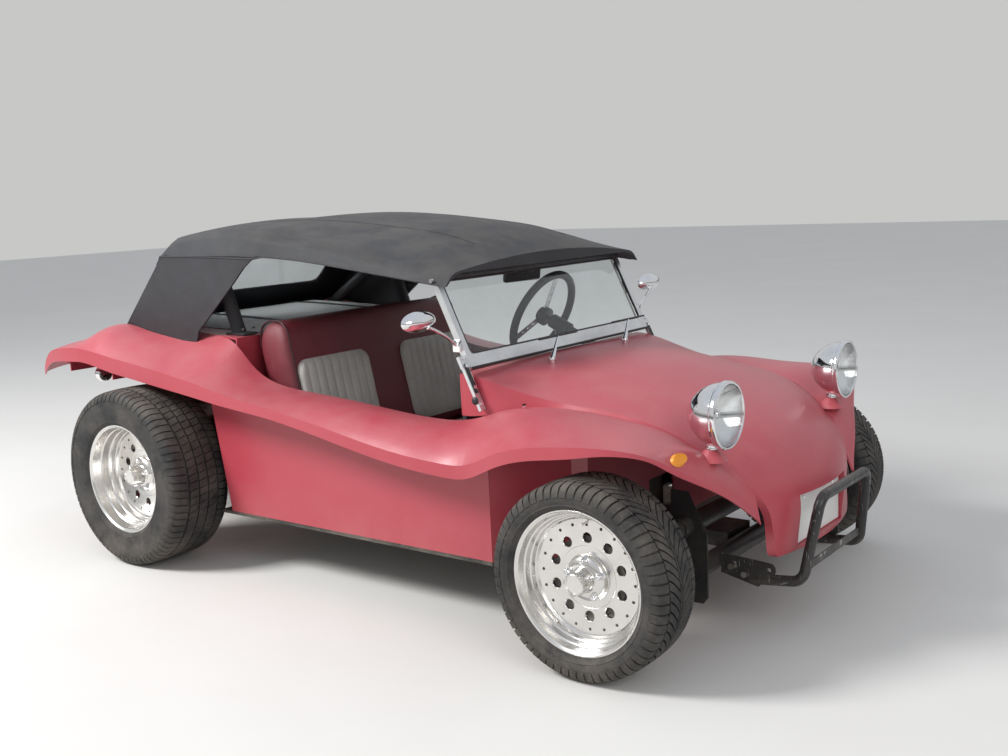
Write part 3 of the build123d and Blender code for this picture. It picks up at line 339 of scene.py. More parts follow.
def between(tree, value, low, high, out_low=0.0, out_high=1.0):
    """Maps a value from one range to another, held inside it."""
    ends = {"From_Min": low, "From_Max": high, "To_Min": out_low, "To_Max": out_high}
    return node(tree, "MapRange", Value=value, **ends).outputs["Result"]


def object_point(tree):
    return node(tree, "TexCoord").outputs["Object"]


def part_of(tree, vector, axis):
    """One of the three numbers of a vector."""
    return node(tree, "SeparateXYZ", Vector=vector).outputs[axis]


def facing_up(tree):
    """How far a face looks up, from -1 to 1."""
    return part_of(tree, node(tree, "NewGeometry").outputs["Normal"], "Z")


def noise(tree, point, scale, detail=4.0, roughness=0.55):
    made = node(tree, "TexNoise", Vector=point, Scale=scale, Detail=detail, Roughness=roughness)
    return made.outputs["Fac"]


def group(name, **inputs):
    """New node group with one value out: its tree, its inputs and the socket to feed."""
    made = bpy.data.node_groups.new(name, "ShaderNodeTree")
    for label, value in inputs.items():
        made.interface.new_socket(label, in_out="INPUT", socket_type="NodeSocketFloat").default_value = value
    made.interface.new_socket("Value", in_out="OUTPUT", socket_type="NodeSocketFloat")
    start, end = made.nodes.new("NodeGroupInput"), made.nodes.new("NodeGroupOutput")
    return made, start.outputs, end.inputs[0]


def use(tree, what, **inputs):
    """The value that a shader group gives with these settings."""
    made = tree.nodes.new("ShaderNodeGroup")
    made.node_tree = what
    for key, value in inputs.items():
        made.inputs[key].default_value = value
    return made.outputs[0]


# Shader groups, each built once and used by several finishes


def make_mottle():
    """Cloudy mask in two sizes, for fading, stains and uneven polish."""
    tree, given, result = group("Mottle", Scale=3.0, Contrast=1.0)
    point = object_point(tree)
    broad = noise(tree, point, given["Scale"], 5.0, 0.6)
    fine = noise(tree, point, maths(tree, "MULTIPLY", given["Scale"], 7.0), 3.0, 0.5)
    mixed = maths(tree, "MULTIPLY_ADD", fine, 0.35, broad)
    spread = maths(tree, "MULTIPLY", maths(tree, "SUBTRACT", mixed, 0.675), given["Contrast"])
    sharp = maths(tree, "MULTIPLY_ADD", spread, 2.4, 0.5)
    feed(tree, node(tree, "Clamp", Value=sharp).outputs["Result"], result)
    return tree


def make_dust():
    """Mask of dust that settles on faces that look up, and low on the car."""
    tree, given, result = group("Dust", Amount=0.5, Low=0.0, High=0.6)
    point = object_point(tree)
    low = between(tree, part_of(tree, point, "Z"), given["Low"], given["High"], 1.0, 0.0)
    places = maths(tree, "MAXIMUM", between(tree, facing_up(tree), 0.1, 1.0), low)
    cloud = between(tree, noise(tree, point, 9.0, 6.0, 0.65), 0.35, 0.7)
    speck = between(tree, noise(tree, point, 160.0, 2.0, 0.5), 0.42, 0.75)
    mask = maths(tree, "MULTIPLY", places, maths(tree, "MULTIPLY_ADD", speck, 0.5, cloud))
    feed(tree, maths(tree, "MULTIPLY", mask, given["Amount"]), result)
    return tree


def make_grain():
    """Height of pressed vinyl grain: rounded cells with fine wrinkles between them."""
    tree, given, result = group("Grain", Scale=400.0)
    point = object_point(tree)
    cells = node(tree, "TexVoronoi", Vector=point, Scale=given["Scale"], feature="DISTANCE_TO_EDGE")
    soft = between(tree, cells.outputs["Distance"], 0.0, 0.22)
    size = maths(tree, "MULTIPLY", given["Scale"], 0.45)
    wrinkle = node(tree, "TexNoise", Vector=point, Scale=size, Detail=3.0).outputs["Fac"]
    feed(tree, maths(tree, "MULTIPLY_ADD", wrinkle, 0.6, soft), result)
    return tree


def make_scratches():
    """Thin streaks across a surface in two directions, for worn metal and paint."""
    tree, given, result = group("Scratches", Scale=30.0)
    point = object_point(tree)
    masks = []
    for turn, stretch in (((0.3, 0.2, 0.5), (1, 14, 1)), ((1.1, 0.4, 2.1), (12, 1, 1))):
        drawn_out = node(tree, "Mapping", Vector=point, Rotation=turn, Scale=stretch).outputs["Vector"]
        streak = node(tree, "TexNoise", Vector=drawn_out, Scale=given["Scale"], Detail=2.0).outputs["Fac"]
        masks.append(between(tree, streak, 0.66, 0.72))
    feed(tree, maths(tree, "MAXIMUM", *masks), result)
    return tree


def make_rings():
    """Height of the fine rings that turning leaves on a wheel: V of the UV map is the radius."""
    tree, given, result = group("Turned rings", Scale=900.0)
    radius = part_of(tree, node(tree, "UVMap").outputs["UV"], "Y")
    line = node(tree, "CombineXYZ", X=radius).outputs["Vector"]
    feed(tree, noise(tree, line, given["Scale"], 3.0, 0.7), result)
    return tree


mottle = make_mottle()
dust = make_dust()
grain = make_grain()
scratches = make_scratches()
rings = make_rings()
dust_colour = (0.50, 0.42, 0.33)
dust_roughness = 0.85


# Finishes


def new_material(name, **settings):
    """Material with its tree and its Principled shader."""
    made = bpy.data.materials.new(name)
    made.use_nodes = True
    shader = made.node_tree.nodes["Principled BSDF"]
    for key, value in settings.items():
        shader.inputs[key.replace("_", " ")].default_value = value
    return made, made.node_tree, shader


def cloudy(tree, scale, contrast=1.0):
    """The mottle's mask."""
    return use(tree, mottle, Scale=scale, Contrast=contrast)


def bump(tree, shader, height, distance, strength):
    made = node(tree, "Bump", Height=height, Distance=distance, Strength=strength)
    feed(tree, made.outputs["Normal"], shader.inputs["Normal"])


def coloured(tree, shader, mask, first, second):
    """Gives a shader a colour between two by a mask."""
    feed(tree, blended(tree, mask, first, second), shader.inputs["Base Color"])


def dusted(tree, shader, colour, rough, amount, low=0.0, high=0.6):
    """Lays dust over a colour and a roughness."""
    layer = use(tree, dust, Amount=amount, Low=low, High=high)
    coloured(tree, shader, layer, colour, dust_colour)
    made = node(tree, "Mix")
    for key, value in ((0, layer), (2, rough), (3, dust_roughness)):
        feed(tree, value, made.inputs[key])
    feed(tree, made.outputs[0], shader.inputs["Roughness"])


def red_gelcoat():
    """Red gelcoat: satin, faded unevenly, and painted pinker and chalkier on faces that look up, as painted
    sunlight.
    """
    made, tree, shader = new_material("Red gelcoat with fading and painted top light", Coat_Weight=0.25, Coat_Roughness=0.3)
    cloud = cloudy(tree, 2.2)
    # Painted light: faces that look up are painted lighter and pinker, as if lit by the sun; the cloud is real
    # uneven fading.
    painted_top_light = between(tree, facing_up(tree), -0.2, 1.0)
    fade_and_painted_light = maths(tree, "MULTIPLY_ADD", cloud, 0.35, maths(tree, "MULTIPLY", painted_top_light, 0.5))
    colour = blended(tree, fade_and_painted_light, (0.40, 0.036, 0.055), (0.46, 0.085, 0.110))
    dusted(tree, shader, colour, between(tree, cloud, 0.0, 1.0, 0.36, 0.46), 0.10, 0.15, 0.35)
    bump(tree, shader, noise(tree, object_point(tree), 220.0, 2.0), 0.0003, 0.25)
    return made


def vinyl(name, colour, faded, specks, rough, dirt, cell=520.0, deep=0.0005, strength=0.45):
    """Grained vinyl: its cloud is (size, contrast), and its roughness a range."""
    made, tree, shader = new_material(name, Specular_IOR_Level=0.5)
    cloud = cloudy(tree, *specks)
    shade = blended(tree, cloud, colour, faded)
    dusted(tree, shader, shade, between(tree, cloud, 0.0, 1.0, *rough), dirt, 0.0, 0.1)
    bump(tree, shader, use(tree, grain, Scale=cell), deep, strength)
    return made


def soft_vinyl(name, colour, faded):
    """Soft upholstery vinyl."""
    return vinyl(name, colour, faded, (7.0, 1.1), (0.36, 0.52), 0.08)


def black_vinyl():
    """Black grained vinyl of the hardtop, greyed by dust, both shades tinted a little blue as a painted reflection
    of the sky.
    """
    # Both shades carry a slight blue tint: a painted sky reflection, not the vinyl's own colour.
    sky_tinted_shades = (0.017, 0.018, 0.022), (0.040, 0.043, 0.050)
    return vinyl("Black grained vinyl", *sky_tinted_shades, (3.0, 1.2), (0.42, 0.58), 0.12, 300.0, 0.0010, 0.8)


def polished_alloy():
    """Polished aluminium with fine turned rings and a little haze."""
    made, tree, shader = new_material("Polished alloy", Metallic=1.0)
    cloud = cloudy(tree, 4.0, 0.7)
    colour = blended(tree, cloud, (0.80, 0.79, 0.77), (0.68, 0.66, 0.63))
    marks = use(tree, rings, Scale=700.0)
    rough = maths(tree, "MULTIPLY_ADD", cloud, 0.08, maths(tree, "MULTIPLY_ADD", marks, 0.16, 0.10))
    dusted(tree, shader, colour, rough, 0.10, 0.02, 0.2)
    bump(tree, shader, marks, 0.0002, 0.35)
    return made


def chrome():
    """Bright chrome with faint scratches."""
    made, tree, shader = new_material("Chrome", Metallic=1.0)
    cloud = cloudy(tree, 25.0)
    coloured(tree, shader, cloud, (0.88, 0.88, 0.89), (0.78, 0.78, 0.79))
    base = maths(tree, "MULTIPLY_ADD", cloud, 0.05, 0.03)
    marks = use(tree, scratches, Scale=60.0)
    feed(tree, maths(tree, "MULTIPLY_ADD", marks, 0.12, base), shader.inputs["Roughness"])
    return made


def tyre_rubber():
    """Road-worn rubber: brown dust in the tread and on the sidewall."""
    made, tree, shader = new_material("Tyre rubber", Specular_IOR_Level=0.35)
    cloud = cloudy(tree, 9.0, 1.3)
    colour = blended(tree, cloud, (0.020, 0.020, 0.021), (0.070, 0.064, 0.058))
    dusted(tree, shader, colour, between(tree, cloud, 0.0, 1.0, 0.62, 0.85), 0.16, 0.0, 0.16)
    pores = noise(tree, object_point(tree), 700.0, 2.0)
    marks = use(tree, rings, Scale=260.0)
    bump(tree, shader, maths(tree, "MULTIPLY_ADD", marks, 0.6, pores), 0.0006, 0.5)
    return made


def painted(name, colour, worn, rough, amount, flake=0.3):
    """Painted steel: uneven sheen, scratches to a second colour and some dust."""
    made, tree, shader = new_material(name, Specular_IOR_Level=0.5)
    wear = maths(tree, "MULTIPLY", use(tree, scratches, Scale=24.0), flake)
    shade = blended(tree, wear, colour, worn)
    uneven = between(tree, cloudy(tree, 14.0, 1.2), 0.0, 1.0, rough - 0.06, rough + 0.08)
    dusted(tree, shader, shade, uneven, amount, 0.0, 0.5)
    bump(tree, shader, noise(tree, object_point(tree), 260.0, 3.0), 0.0004, 0.3)
    return made


def cast_metal():
    """Rough cast aluminium, stained by oil and dust."""
    made, tree, shader = new_material("Cast metal", Metallic=0.7)
    cloud = cloudy(tree, 10.0, 1.4)
    colour = blended(tree, cloud, (0.22, 0.21, 0.20), (0.09, 0.08, 0.07))
    dusted(tree, shader, colour, between(tree, cloud, 0.0, 1.0, 0.5, 0.7), 0.4, 0.1, 0.6)
    bump(tree, shader, noise(tree, object_point(tree), 420.0, 4.0, 0.7), 0.0012, 0.6)
    return made


def frame_alloy():
    """Satin drawn aluminium with fine lengthwise lines."""
    made, tree, shader = new_material("Satin alloy", Metallic=1.0)
    coloured(tree, shader, cloudy(tree, 16.0), (0.78, 0.79, 0.80), (0.66, 0.67, 0.68))
    drawn_out = node(tree, "Mapping", Vector=object_point(tree), Scale=(300, 12, 300)).outputs["Vector"]
    lines = noise(tree, drawn_out, 4.0, 3.0)
    feed(tree, between(tree, lines, 0.3, 0.7, 0.26, 0.42), shader.inputs["Roughness"])
    bump(tree, shader, lines, 0.0002, 0.3)
    return made


def clear_glass():
    """Clear window glass with a faint green edge and a film of dust."""
    made, tree, shader = new_material("Clear glass", Transmission_Weight=1.0, Roughness=0.0, IOR=1.45)
    coloured(tree, shader, cloudy(tree, 6.0), (0.93, 0.97, 0.96), (0.86, 0.90, 0.89))
    return made


def ribbed(name, closeness, colour, bright, deep, strength, **settings):
    """Lens with upright ribs pressed into it, each rib's crest painted brighter as a painted highlight."""
    made, tree, shader = new_material(name, **settings)
    across = part_of(tree, object_point(tree), "Y")
    ribs = maths(tree, "SINE", maths(tree, "MULTIPLY", across, closeness))
    # Painted highlight: the second colour, given as bright, is painted on each rib's crest.
    coloured(tree, shader, between(tree, ribs, -1.0, 1.0), colour, bright)
    bump(tree, shader, ribs, deep, strength)
    return made


def lamp_glass():
    """Pressed headlamp lens with upright flutes, their crests painted brighter as painted highlights."""
    return ribbed(
        "Fluted lamp glass", 900.0, (0.97, 0.98, 0.97), (0.90, 0.92, 0.92), 0.0003, 0.2,
        Transmission_Weight=1.0, Roughness=0.02, IOR=1.45,
    )


def lens_plastic(name, colour, bright):
    """Coloured lens with fine ribs, their crests painted brighter as painted highlights."""
    return ribbed(name, 1500.0, colour, bright, 0.0006, 0.5, Roughness=0.15)


def moulded_plastic(name, colour, faded):
    """Dull plastic with a fine texture."""
    made, tree, shader = new_material(name, Specular_IOR_Level=0.45)
    cloud = cloudy(tree, 18.0)
    shade = blended(tree, cloud, colour, faded)
    dusted(tree, shader, shade, between(tree, cloud, 0.0, 1.0, 0.42, 0.56), 0.1, 0.0, 0.2)
    bump(tree, shader, noise(tree, object_point(tree), 900.0, 2.0), 0.0003, 0.4)
    return made


satin_black, worn_black = (0.016, 0.016, 0.017), (0.10, 0.09, 0.08)
finish = {
    "red_gelcoat": red_gelcoat(),
    "black_vinyl": black_vinyl(),
    "polished_alloy": polished_alloy(),
    "tyre": tyre_rubber(),
    "chrome": chrome(),
    "black_paint": painted("Satin black paint", satin_black, worn_black, 0.34, 0.12),
    "black_steel": painted("Chassis black", (0.022, 0.021, 0.020), (0.09, 0.06, 0.04), 0.5, 0.35),
    "cast_alloy": cast_metal(),
    "frame_alloy": frame_alloy(),
    "clear_glass": clear_glass(),
    "lamp_glass": lamp_glass(),
    "red_vinyl": soft_vinyl("Dark red vinyl", (0.150, 0.016, 0.026), (0.19, 0.030, 0.040)),
    "amber_plastic": lens_plastic("Amber lens", (0.75, 0.22, 0.01), (0.95, 0.42, 0.04)),
    "red_lens": lens_plastic("Red lens", (0.36, 0.01, 0.01), (0.55, 0.03, 0.02)),
    "black_plastic": moulded_plastic(
        "Black moulded plastic", (0.015, 0.015, 0.016), (0.031, 0.031, 0.0328)
    ),
    "plate_white": painted("Blank plate", (0.72, 0.72, 0.70), (0.45, 0.43, 0.40), 0.38, 0.10, 0.15),
    "exhaust_steel": painted("Dull exhaust steel", (0.16, 0.15, 0.14), (0.20, 0.11, 0.06), 0.5, 0.3, 0.6),
}
worn_paint = painted("Worn bumper paint", satin_black, (0.34, 0.32, 0.30), 0.32, 0.12, 0.9)
grey_vinyl = soft_vinyl("Light grey pleated vinyl", (0.58, 0.55, 0.51), (0.48, 0.45, 0.42))
white_vinyl = soft_vinyl("White soft cover", (0.72, 0.72, 0.72), (0.60, 0.60, 0.61))
welt_vinyl = soft_vinyl("Dark welt", (0.045, 0.006, 0.010), (0.06, 0.01, 0.014))

node_slots = {part["node"]: part["material_slot"] for part in frame["record"]["subparts"]}
for name, cad in nodes.items():
    cad.data.materials.clear()
    cad.data.materials.append(worn_paint if name == "front_bumper" else finish[node_slots[name]])


# Stage: pale floor, soft light and the photograph's viewing angle


def make_floor():
    """Plain pale ground."""
    floor = add("plane", "floor", size=60)
    made, tree, shader = new_material("Pale floor", Roughness=0.9, Specular_IOR_Level=0.2)
    coloured(tree, shader, cloudy(tree, 0.8, 0.5), (0.66, 0.64, 0.61), (0.70, 0.69, 0.66))
    floor.data.materials.append(made)


def make_world():
    """Pale surroundings: bright overhead, a dimmer band at the horizon for reflections."""
    world = bpy.data.worlds.new("Studio")
    bpy.context.scene.world = world
    world.use_nodes = True
    tree = world.node_tree
    ramp = node(tree, "ValToRGB", Fac=part_of(tree, node(tree, "TexCoord").outputs["Generated"], "Z"))
    stops = ramp.color_ramp.elements
    stops[0].color = (0.20, 0.19, 0.18, 1)
    stops[1].color = (0.78, 0.84, 0.95, 1)
    for height, colour in ((0.06, (0.42, 0.41, 0.40, 1)), (0.16, (0.86, 0.86, 0.86, 1))):
        stops.new(height).color = colour
    seen = node(tree, "LightPath").outputs["Is Camera Ray"]
    back = tree.nodes["Background"].inputs
    feed(tree, blended(tree, seen, ramp.outputs["Color"], (0.80, 0.80, 0.79)), back["Color"])
    back["Strength"].default_value = 0.72


def add_lamp(name, place, aim, size, power):
    """Rectangular area light that looks at a point."""
    data = bpy.data.lights.new(name, "AREA")
    data.shape = "RECTANGLE"
    data.size, data.size_y = size
    data.energy = power
    lamp = linked(name, data)
    lamp.location = place
    lamp.rotation_euler = (Vector(aim) - Vector(place)).to_track_quat("-Z", "Y").to_euler()


def make_camera():
    """Camera solved from the wheels' ellipses and the ground line of the photograph."""
    place = Vector((2.8701, -3.2753, 1.3315))
    yaw, pitch, roll = -0.6566, 0.159, -0.045
    focal_pixels, width_pixels, sensor = 1154.24, 1008, 36.0
    ahead = Vector((
        -math.cos(pitch) * math.sin(-yaw), math.cos(pitch) * math.cos(yaw), -math.sin(pitch)
    ))
    level = ahead.cross(Vector((0, 0, 1))).normalized()
    right = level * math.cos(roll) + level.cross(ahead) * math.sin(roll)
    data = bpy.data.cameras.new("camera")
    data.sensor_width = sensor
    data.lens = focal_pixels / width_pixels * sensor
    camera = linked("camera", data)
    turn = Matrix((right, right.cross(ahead), -ahead)).transposed()
    camera.matrix_world = Matrix.Translation(place) @ turn.to_4x4()
    bpy.context.scene.camera = camera


make_floor()
make_world()
add_lamp("key", (-3.2, -4.6, 5.2), (0, 0, 0.4), (2.0, 2.0), 560)
add_lamp("fill", (5.0, -2.5, 2.6), (0.5, 0, 0.5), (3.0, 2.0), 60)
make_camera()
bpy.context.scene.view_settings.view_transform = "Standard"


# Wheels, built about the Y axis with their outer side towards -Y

tread_depth = 0.0075
crown_points = 9
bead_radius = 0.1945
hole_circle, hole_count = 0.112, 10
rivet_circle, rivet_count = 0.1495, 20
nut_circle, nut_count, nut_lift = 0.0535, 5, 0.012
wheel_facts = {"front": (front_axle, 0.066, 62), "rear": (rear_axle, 0.105, 74)}


class WheelSize:
    """Sizes of one wheel, read from the frame, with its disc's depth and its tread's pitches."""

    def __init__(self, end):
        tyre_low, tyre_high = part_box(f"{end}_tyre_right")
        rim_low, rim_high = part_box(f"{end}_rim_right")
        self.end = end
        self.axle, depth, self.pitches = wheel_facts[end]
        self.radius = (tyre_high[2] - tyre_low[2]) / 2
        self.half = (tyre_high[1] - tyre_low[1]) / 2
        self.flange = (rim_high[2] - rim_low[2]) / 2
        self.lip = (rim_high[1] - rim_low[1]) / 2
        self.disc = self.lip - depth
        self.pitch = math.tau * self.radius / self.pitches


def with_wheel_uv(obj):
    """UV of a wheel piece: U is the angle, V the distance from the axle."""
    layer = obj.data.uv_layers.new(name="UVMap")
    for loop in obj.data.loops:
        p = obj.data.vertices[loop.vertex_index].co
        layer.data[loop.index].uv = (math.atan2(p.x, p.z) / math.tau, math.hypot(p.x, p.z))
    return obj


def half_section(size):
    """Carcass from the middle of the crown to the outer bead as (outward, radius)."""
    w, r, f, lip = size.half, size.radius - tread_depth, size.flange, size.lip
    return [
        (0, r), (w * 0.3, r - 0.0004), (w * 0.58, r - 0.0018), (w * 0.76, r - 0.0038),
        (w - 0.0150, r - 0.0072), (w - 0.0075, r - 0.0120), (w - 0.0035, r - 0.0180),
        (w - 0.0015, r - 0.0250), (w - 0.0004, r - 0.0300),
        (w, f + (r - f) * 0.45), (w - 0.0010, f + 0.0220), (w - 0.0035, f + 0.0145),
        (w - 0.0028, f + 0.0120), (w - 0.0050, f + 0.0098), (min(lip + 0.009, w - 0.0060), f + 0.0070),
        (lip + 0.0035, f + 0.0034), (lip + 0.0012, f + 0.0004), (lip - 0.0010, f - 0.0045),
        (lip - 0.0060, bead_radius),
    ]


def tread_place(size, along, height):
    """Place (outward, radius) above the tread, a way along it from the middle of the crown."""
    path = [Vector(p) for p in half_section(size)[:crown_points]]
    left = abs(along)
    for i, (a, b) in enumerate(zip(path, path[1:])):
        run = (b - a).length
        if left <= run or i == len(path) - 2:
            break
        left -= run
    before, after = path[max(i - 1, 0)], path[min(i + 2, len(path) - 1)]
    t = min(left / run, 1.0)
    flow = (b - before).normalized().lerp((after - a).normalized(), t)
    place = a.lerp(b, t) + Vector((-flow.y, flow.x)).normalized() * height
    return math.copysign(place.x, along), place.y


def tread_block(name, size, cuts):
    """Rubber block: cuts across it as (way along the tread, start, end around the tyre)."""
    edge, sink, least, taper = 0.0007, 0.002, 0.0022, 0.22
    points, faces = [], []
    shoulder = size.half * 0.84
    for along, start, end in cuts:
        tall = tread_depth
        if abs(along) > shoulder:
            tall = max(least, tall - taper * (abs(along) - shoulder))
        for s, height in ((start, -sink), (start + edge, tall), (end - edge, tall), (end, -sink)):
            outward_by, radius = tread_place(size, along, height)
            angle = s / size.radius
            points.append((radius * math.sin(angle), -outward_by, radius * math.cos(angle)))
    last = 4 * (len(cuts) - 1)
    for a in range(0, last, 4):
        faces += [(a + k, a + k + 1, a + k + 5, a + k + 4) for k in range(3)]
    faces += [(0, 3, 2, 1), (last, last + 1, last + 2, last + 3)]
    return outward(drawn(name, points, faces))


def long_block(name, size, side, ends, parts, groove, shift):
    """Block between two distances from the middle: shift is its start around the tyre, a way along it."""
    cuts = []
    for k in range(parts + 1):
        way = (ends[1] - ends[0]) * k / parts
        start = shift(way)
        cuts.append((side * (ends[0] + way), start, start + size.pitch - groove))
    return tread_block(name, size, cuts)


def front_tread(size):
    """Directional pattern: shoulder lugs, and swept fins that meet in a V on the middle rib."""
    fin_start, fin_reach = 0.0065, 0.0565

    def sweep(way):
        return 0.052 * (1 - (fin_start + way) / fin_reach) ** 1.35 - 0.004

    blocks = []
    for side in (-1, 1):
        blocks += [
            long_block("shoulder lug", size, side, (0.0600, 0.1180), 8, 0.0046, lambda way: -0.10 * way),
            long_block("swept fin", size, side, (fin_start, 0.0560), 6, 0.0050, sweep),
        ]
    return around_axle(join("front tread", blocks), size.pitches)


def rear_tread(size):
    """Block pattern: five ribs cut by sipes, with four grooves round the tyre."""
    rib, lean = 0.0170, 0.004
    blocks = [tread_block("middle block", size, [
        (s * rib, s * lean, s * lean + size.pitch - 0.0022) for s in (-1, 0, 1)
    ])]
    for side in (-1, 1):
        blocks += [
            long_block("inner", size, side, (0.0240, 0.0600), 3, 0.0026, lambda way: side * 0.24 * way),
            long_block("shoulder", size, side, (0.0680, 0.1480), 8, 0.0036, lambda way: -side * 0.12 * way),
        ]
    return around_axle(join("rear tread", blocks), size.pitches)


def make_tyre(size):
    """Carcass with its tread as one piece about the axle."""
    out = half_section(size)
    w, r = size.half, size.radius
    if size.end == "front":
        out = [(0, r), (0.0028, r), (0.0036, r - tread_depth)] + out[1:]
    half = out + [
        (size.lip - 0.014, bead_radius), (w - 0.014, size.flange + 0.020), (w - 0.015, r - 0.040),
        (w - 0.030, r - 0.022),
    ]
    ring = half + [(-u, v) for u, v in reversed(half[1:])]
    carcass = turned("carcass", ring, 144)
    tread = front_tread(size) if size.end == "front" else rear_tread(size)
    return smooth(with_wheel_uv(join("tyre", [carcass, tread])), 32)


def rim_section(size):
    """Stepped deep barrel and flat disc as a closed outline of (outward, radius)."""
    lip, f, disc = size.lip, size.flange, size.disc
    deep = lip - disc
    outer_lip = [
        (-0.0085, -0.0060), (-0.0075, -0.0012), (-0.0045, 0), (-0.0014, -0.0006), (0, -0.0030),
        (-0.0008, -0.0068), (-0.0040, -0.0100), (-0.0060, -0.0135),
    ]
    steps = [
        (0.34, 0.0195), (0.36, 0.0225), (0.38, 0.0240), (0.62, 0.0270), (0.64, 0.0300), (0.66, 0.0315),
        (0.86, 0.0345), (0.88, 0.0375),
    ]
    face = [
        (0.0045, f - 0.0400), (0.0012, f - 0.0425), (0, f - 0.0455), (0, 0.0900), (-0.0012, 0.0880),
        (-0.0012, 0.0720), (-0.0012, 0.0300), (-0.0080, 0.0300), (-0.0080, f - 0.0460),
        (-0.0110, f - 0.0380), (-0.0200, f - 0.0300),
    ]
    inner_lip = [
        (0.0280, -0.0220), (0.0090, -0.0140), (0.0012, -0.0070), (0, -0.0030), (0.0014, -0.0006),
        (0.0045, 0), (0.0075, -0.0012), (0.0095, -0.0120), (0.0300, -0.0165),
    ]
    return (
        [(lip + u, f + v) for u, v in outer_lip] + [(lip - deep * u, f - v) for u, v in steps]
        + [(disc + u, v) for u, v in face] + [(-lip + u, f + v) for u, v in inner_lip]
        + [(lip - 0.0300, f - 0.0165), (lip - 0.0105, f - 0.0120)]
    )


def cap_section(size):
    """Domed cap with a long plain middle, from its foot to the pole."""
    foot = size.disc - 0.0010
    return [(foot + u, r) for u, r in (
        (0, 0.0675), (0.0035, 0.0675), (0.0050, 0.0660), (0.0110, 0.0645), (0.0170, 0.0600),
        (0.0215, 0.0530), (0.0240, 0.0450), (0.0250, 0.0380), (0.0265, 0.0362), (0.0280, 0.0358),
        (0.0530, 0.0335), (0.0700, 0.0318), (0.0745, 0.0300), (0.0760, 0.0275), (0.0755, 0.0250),
        (0.0730, 0.0240), (0.0725, 0.0200), (0.0722, 0.0),
    )]


def make_rim(size):
    """Turned rim with its round holes, its cap and its valve."""
    rim = turned("rim", rim_section(size), 128)
    disc, valve_height = size.disc, size.flange - 0.053
    cutter = turned("cutter", [(disc + u, r) for u, r in (
        (-0.03, 0), (-0.03, 0.0145), (-0.0016, 0.0145), (0, 0.0160), (0.01, 0.0235), (0.01, 0),
    )], 28, closed=False)
    cut_by(rim, around_axle(moved(cutter, (0, 0, hole_circle)), hole_count))
    pieces = [
        rim, turned("cap", cap_section(size), 64, closed=False),
        axle_rod("stem", 0.0035, disc, disc + 0.026, valve_height),
        axle_rod("valve cap", 0.0046, disc + 0.018, disc + 0.028, valve_height, 10),
    ]
    return smooth(with_wheel_uv(join("rim", pieces)), 28)


def make_rivets(size):
    """Small domed rivets round the disc, dark as painted shade for the shadowed rivet holes."""
    rivet = ball("rivet", 0.0046, stretch=(1, 0.55, 1), segments=10, rings=6)
    return smooth(around_axle(moved(rivet, (0, -size.disc, rivet_circle)), rivet_count))


def make_nuts(size):
    """Domed nuts on the cap's shoulder."""
    foot = size.disc + nut_lift
    top = foot + 0.017
    nut = rounded(axle_rod("nut", 0.0112, foot, top, nut_circle, 6), 0.0008, 2)
    dome = moved(ball("dome", 0.0092, stretch=(1, 0.9, 1), segments=14, rings=8), (0, -top, nut_circle))
    washer = axle_rod("washer", 0.0135, foot - 0.004, foot + 0.0015, nut_circle, 20)
    return smooth(around_axle(join("nuts", [nut, dome, washer]), nut_count))


def fit_wheels(end):
    """Right-hand wheel at its axle, and its mirror image on the left."""
    size = WheelSize(end)
    for piece, label, slot in (
        (make_tyre(size), "tyre", "tyre"), (make_rim(size), "rim", "polished_alloy"),
        # The rivets' dark steel is painted shade: it stands for the shade in the rivet holes.
        (make_rivets(size), "rivets", "black_steel"), (make_nuts(size), "wheel nuts", "chrome"),
    ):
        moved(piece, size.axle)
        left = mirrored(piece, "left " + label)
        for side, obj in (("right", piece), ("left", left)):
            replaced = [f"{end}_{label}_{side}"] if label in ("tyre", "rim") else ()
            kept(obj, f"{end} {side} {label}", slot, replaced, body=f"{end}_{side}_wheel")


fit_wheels("front")
fit_wheels("rear")


# Lamps


def make_headlamps():
    """Chrome bowls with a seam ring and a nut stalk, and clear domed lenses."""
    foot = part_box("headlamps")[0][2]
    middle = Vector((1.455, -0.436, 0.6995))
    stalk_at = (1.4005, middle.y)
    bowl = turned("bowl", [
        (-0.118, 0), (-0.1165, 0.016), (-0.108, 0.040), (-0.092, 0.060), (-0.068, 0.0775),
        (-0.040, 0.0885), (-0.0165, 0.0925), (-0.0155, 0.0948), (-0.0130, 0.0965), (-0.0100, 0.0958),
        (-0.0090, 0.0940), (-0.0080, 0.0960), (-0.0020, 0.0970), (0.0022, 0.0958), (0.0040, 0.0925),
        (0.0035, 0.0885), (0.0000, 0.0870), (-0.0120, 0.0800), (-0.0350, 0.0600), (-0.0520, 0.0350),
        (-0.0580, 0.0120), (-0.0585, 0),
    ], 72, closed=False)
    lamp = moved(facing(join("lamp", [bowl, ball("bulb", 0.013, (0, 0.040, 0))])), middle)
    stalk = [
        rod("stalk", 0.0105, foot + 0.002, middle.z - 0.078, stalk_at),
        rod("base", 0.0165, foot, foot + 0.005, stalk_at, 32),
        rod("nut", 0.0165, foot + 0.005, foot + 0.017, stalk_at, 6),
        rod("collar", 0.0150, middle.z - 0.094, middle.z - 0.084, stalk_at),
    ]
    for piece in stalk:
        rounded(piece, 0.0009, 2)
    kept_pair(smooth(join("headlamp", [lamp] + stalk), 30), "headlamp", "chrome", ["headlamps"])
    lens = turned("lens", [
        (0.0165, 0), (0.0160, 0.020), (0.0145, 0.040), (0.0115, 0.058), (0.0070, 0.074),
        (0.0015, 0.0862), (-0.0008, 0.0858), (0.0045, 0.0728), (0.0088, 0.0570), (0.0118, 0.040),
        (0.0133, 0.020), (0.0138, 0),
    ], 64, closed=False)
    kept_pair(smooth(moved(facing(lens), middle), 40), "headlamp lens", "lamp_glass", ["headlamp_lenses"])


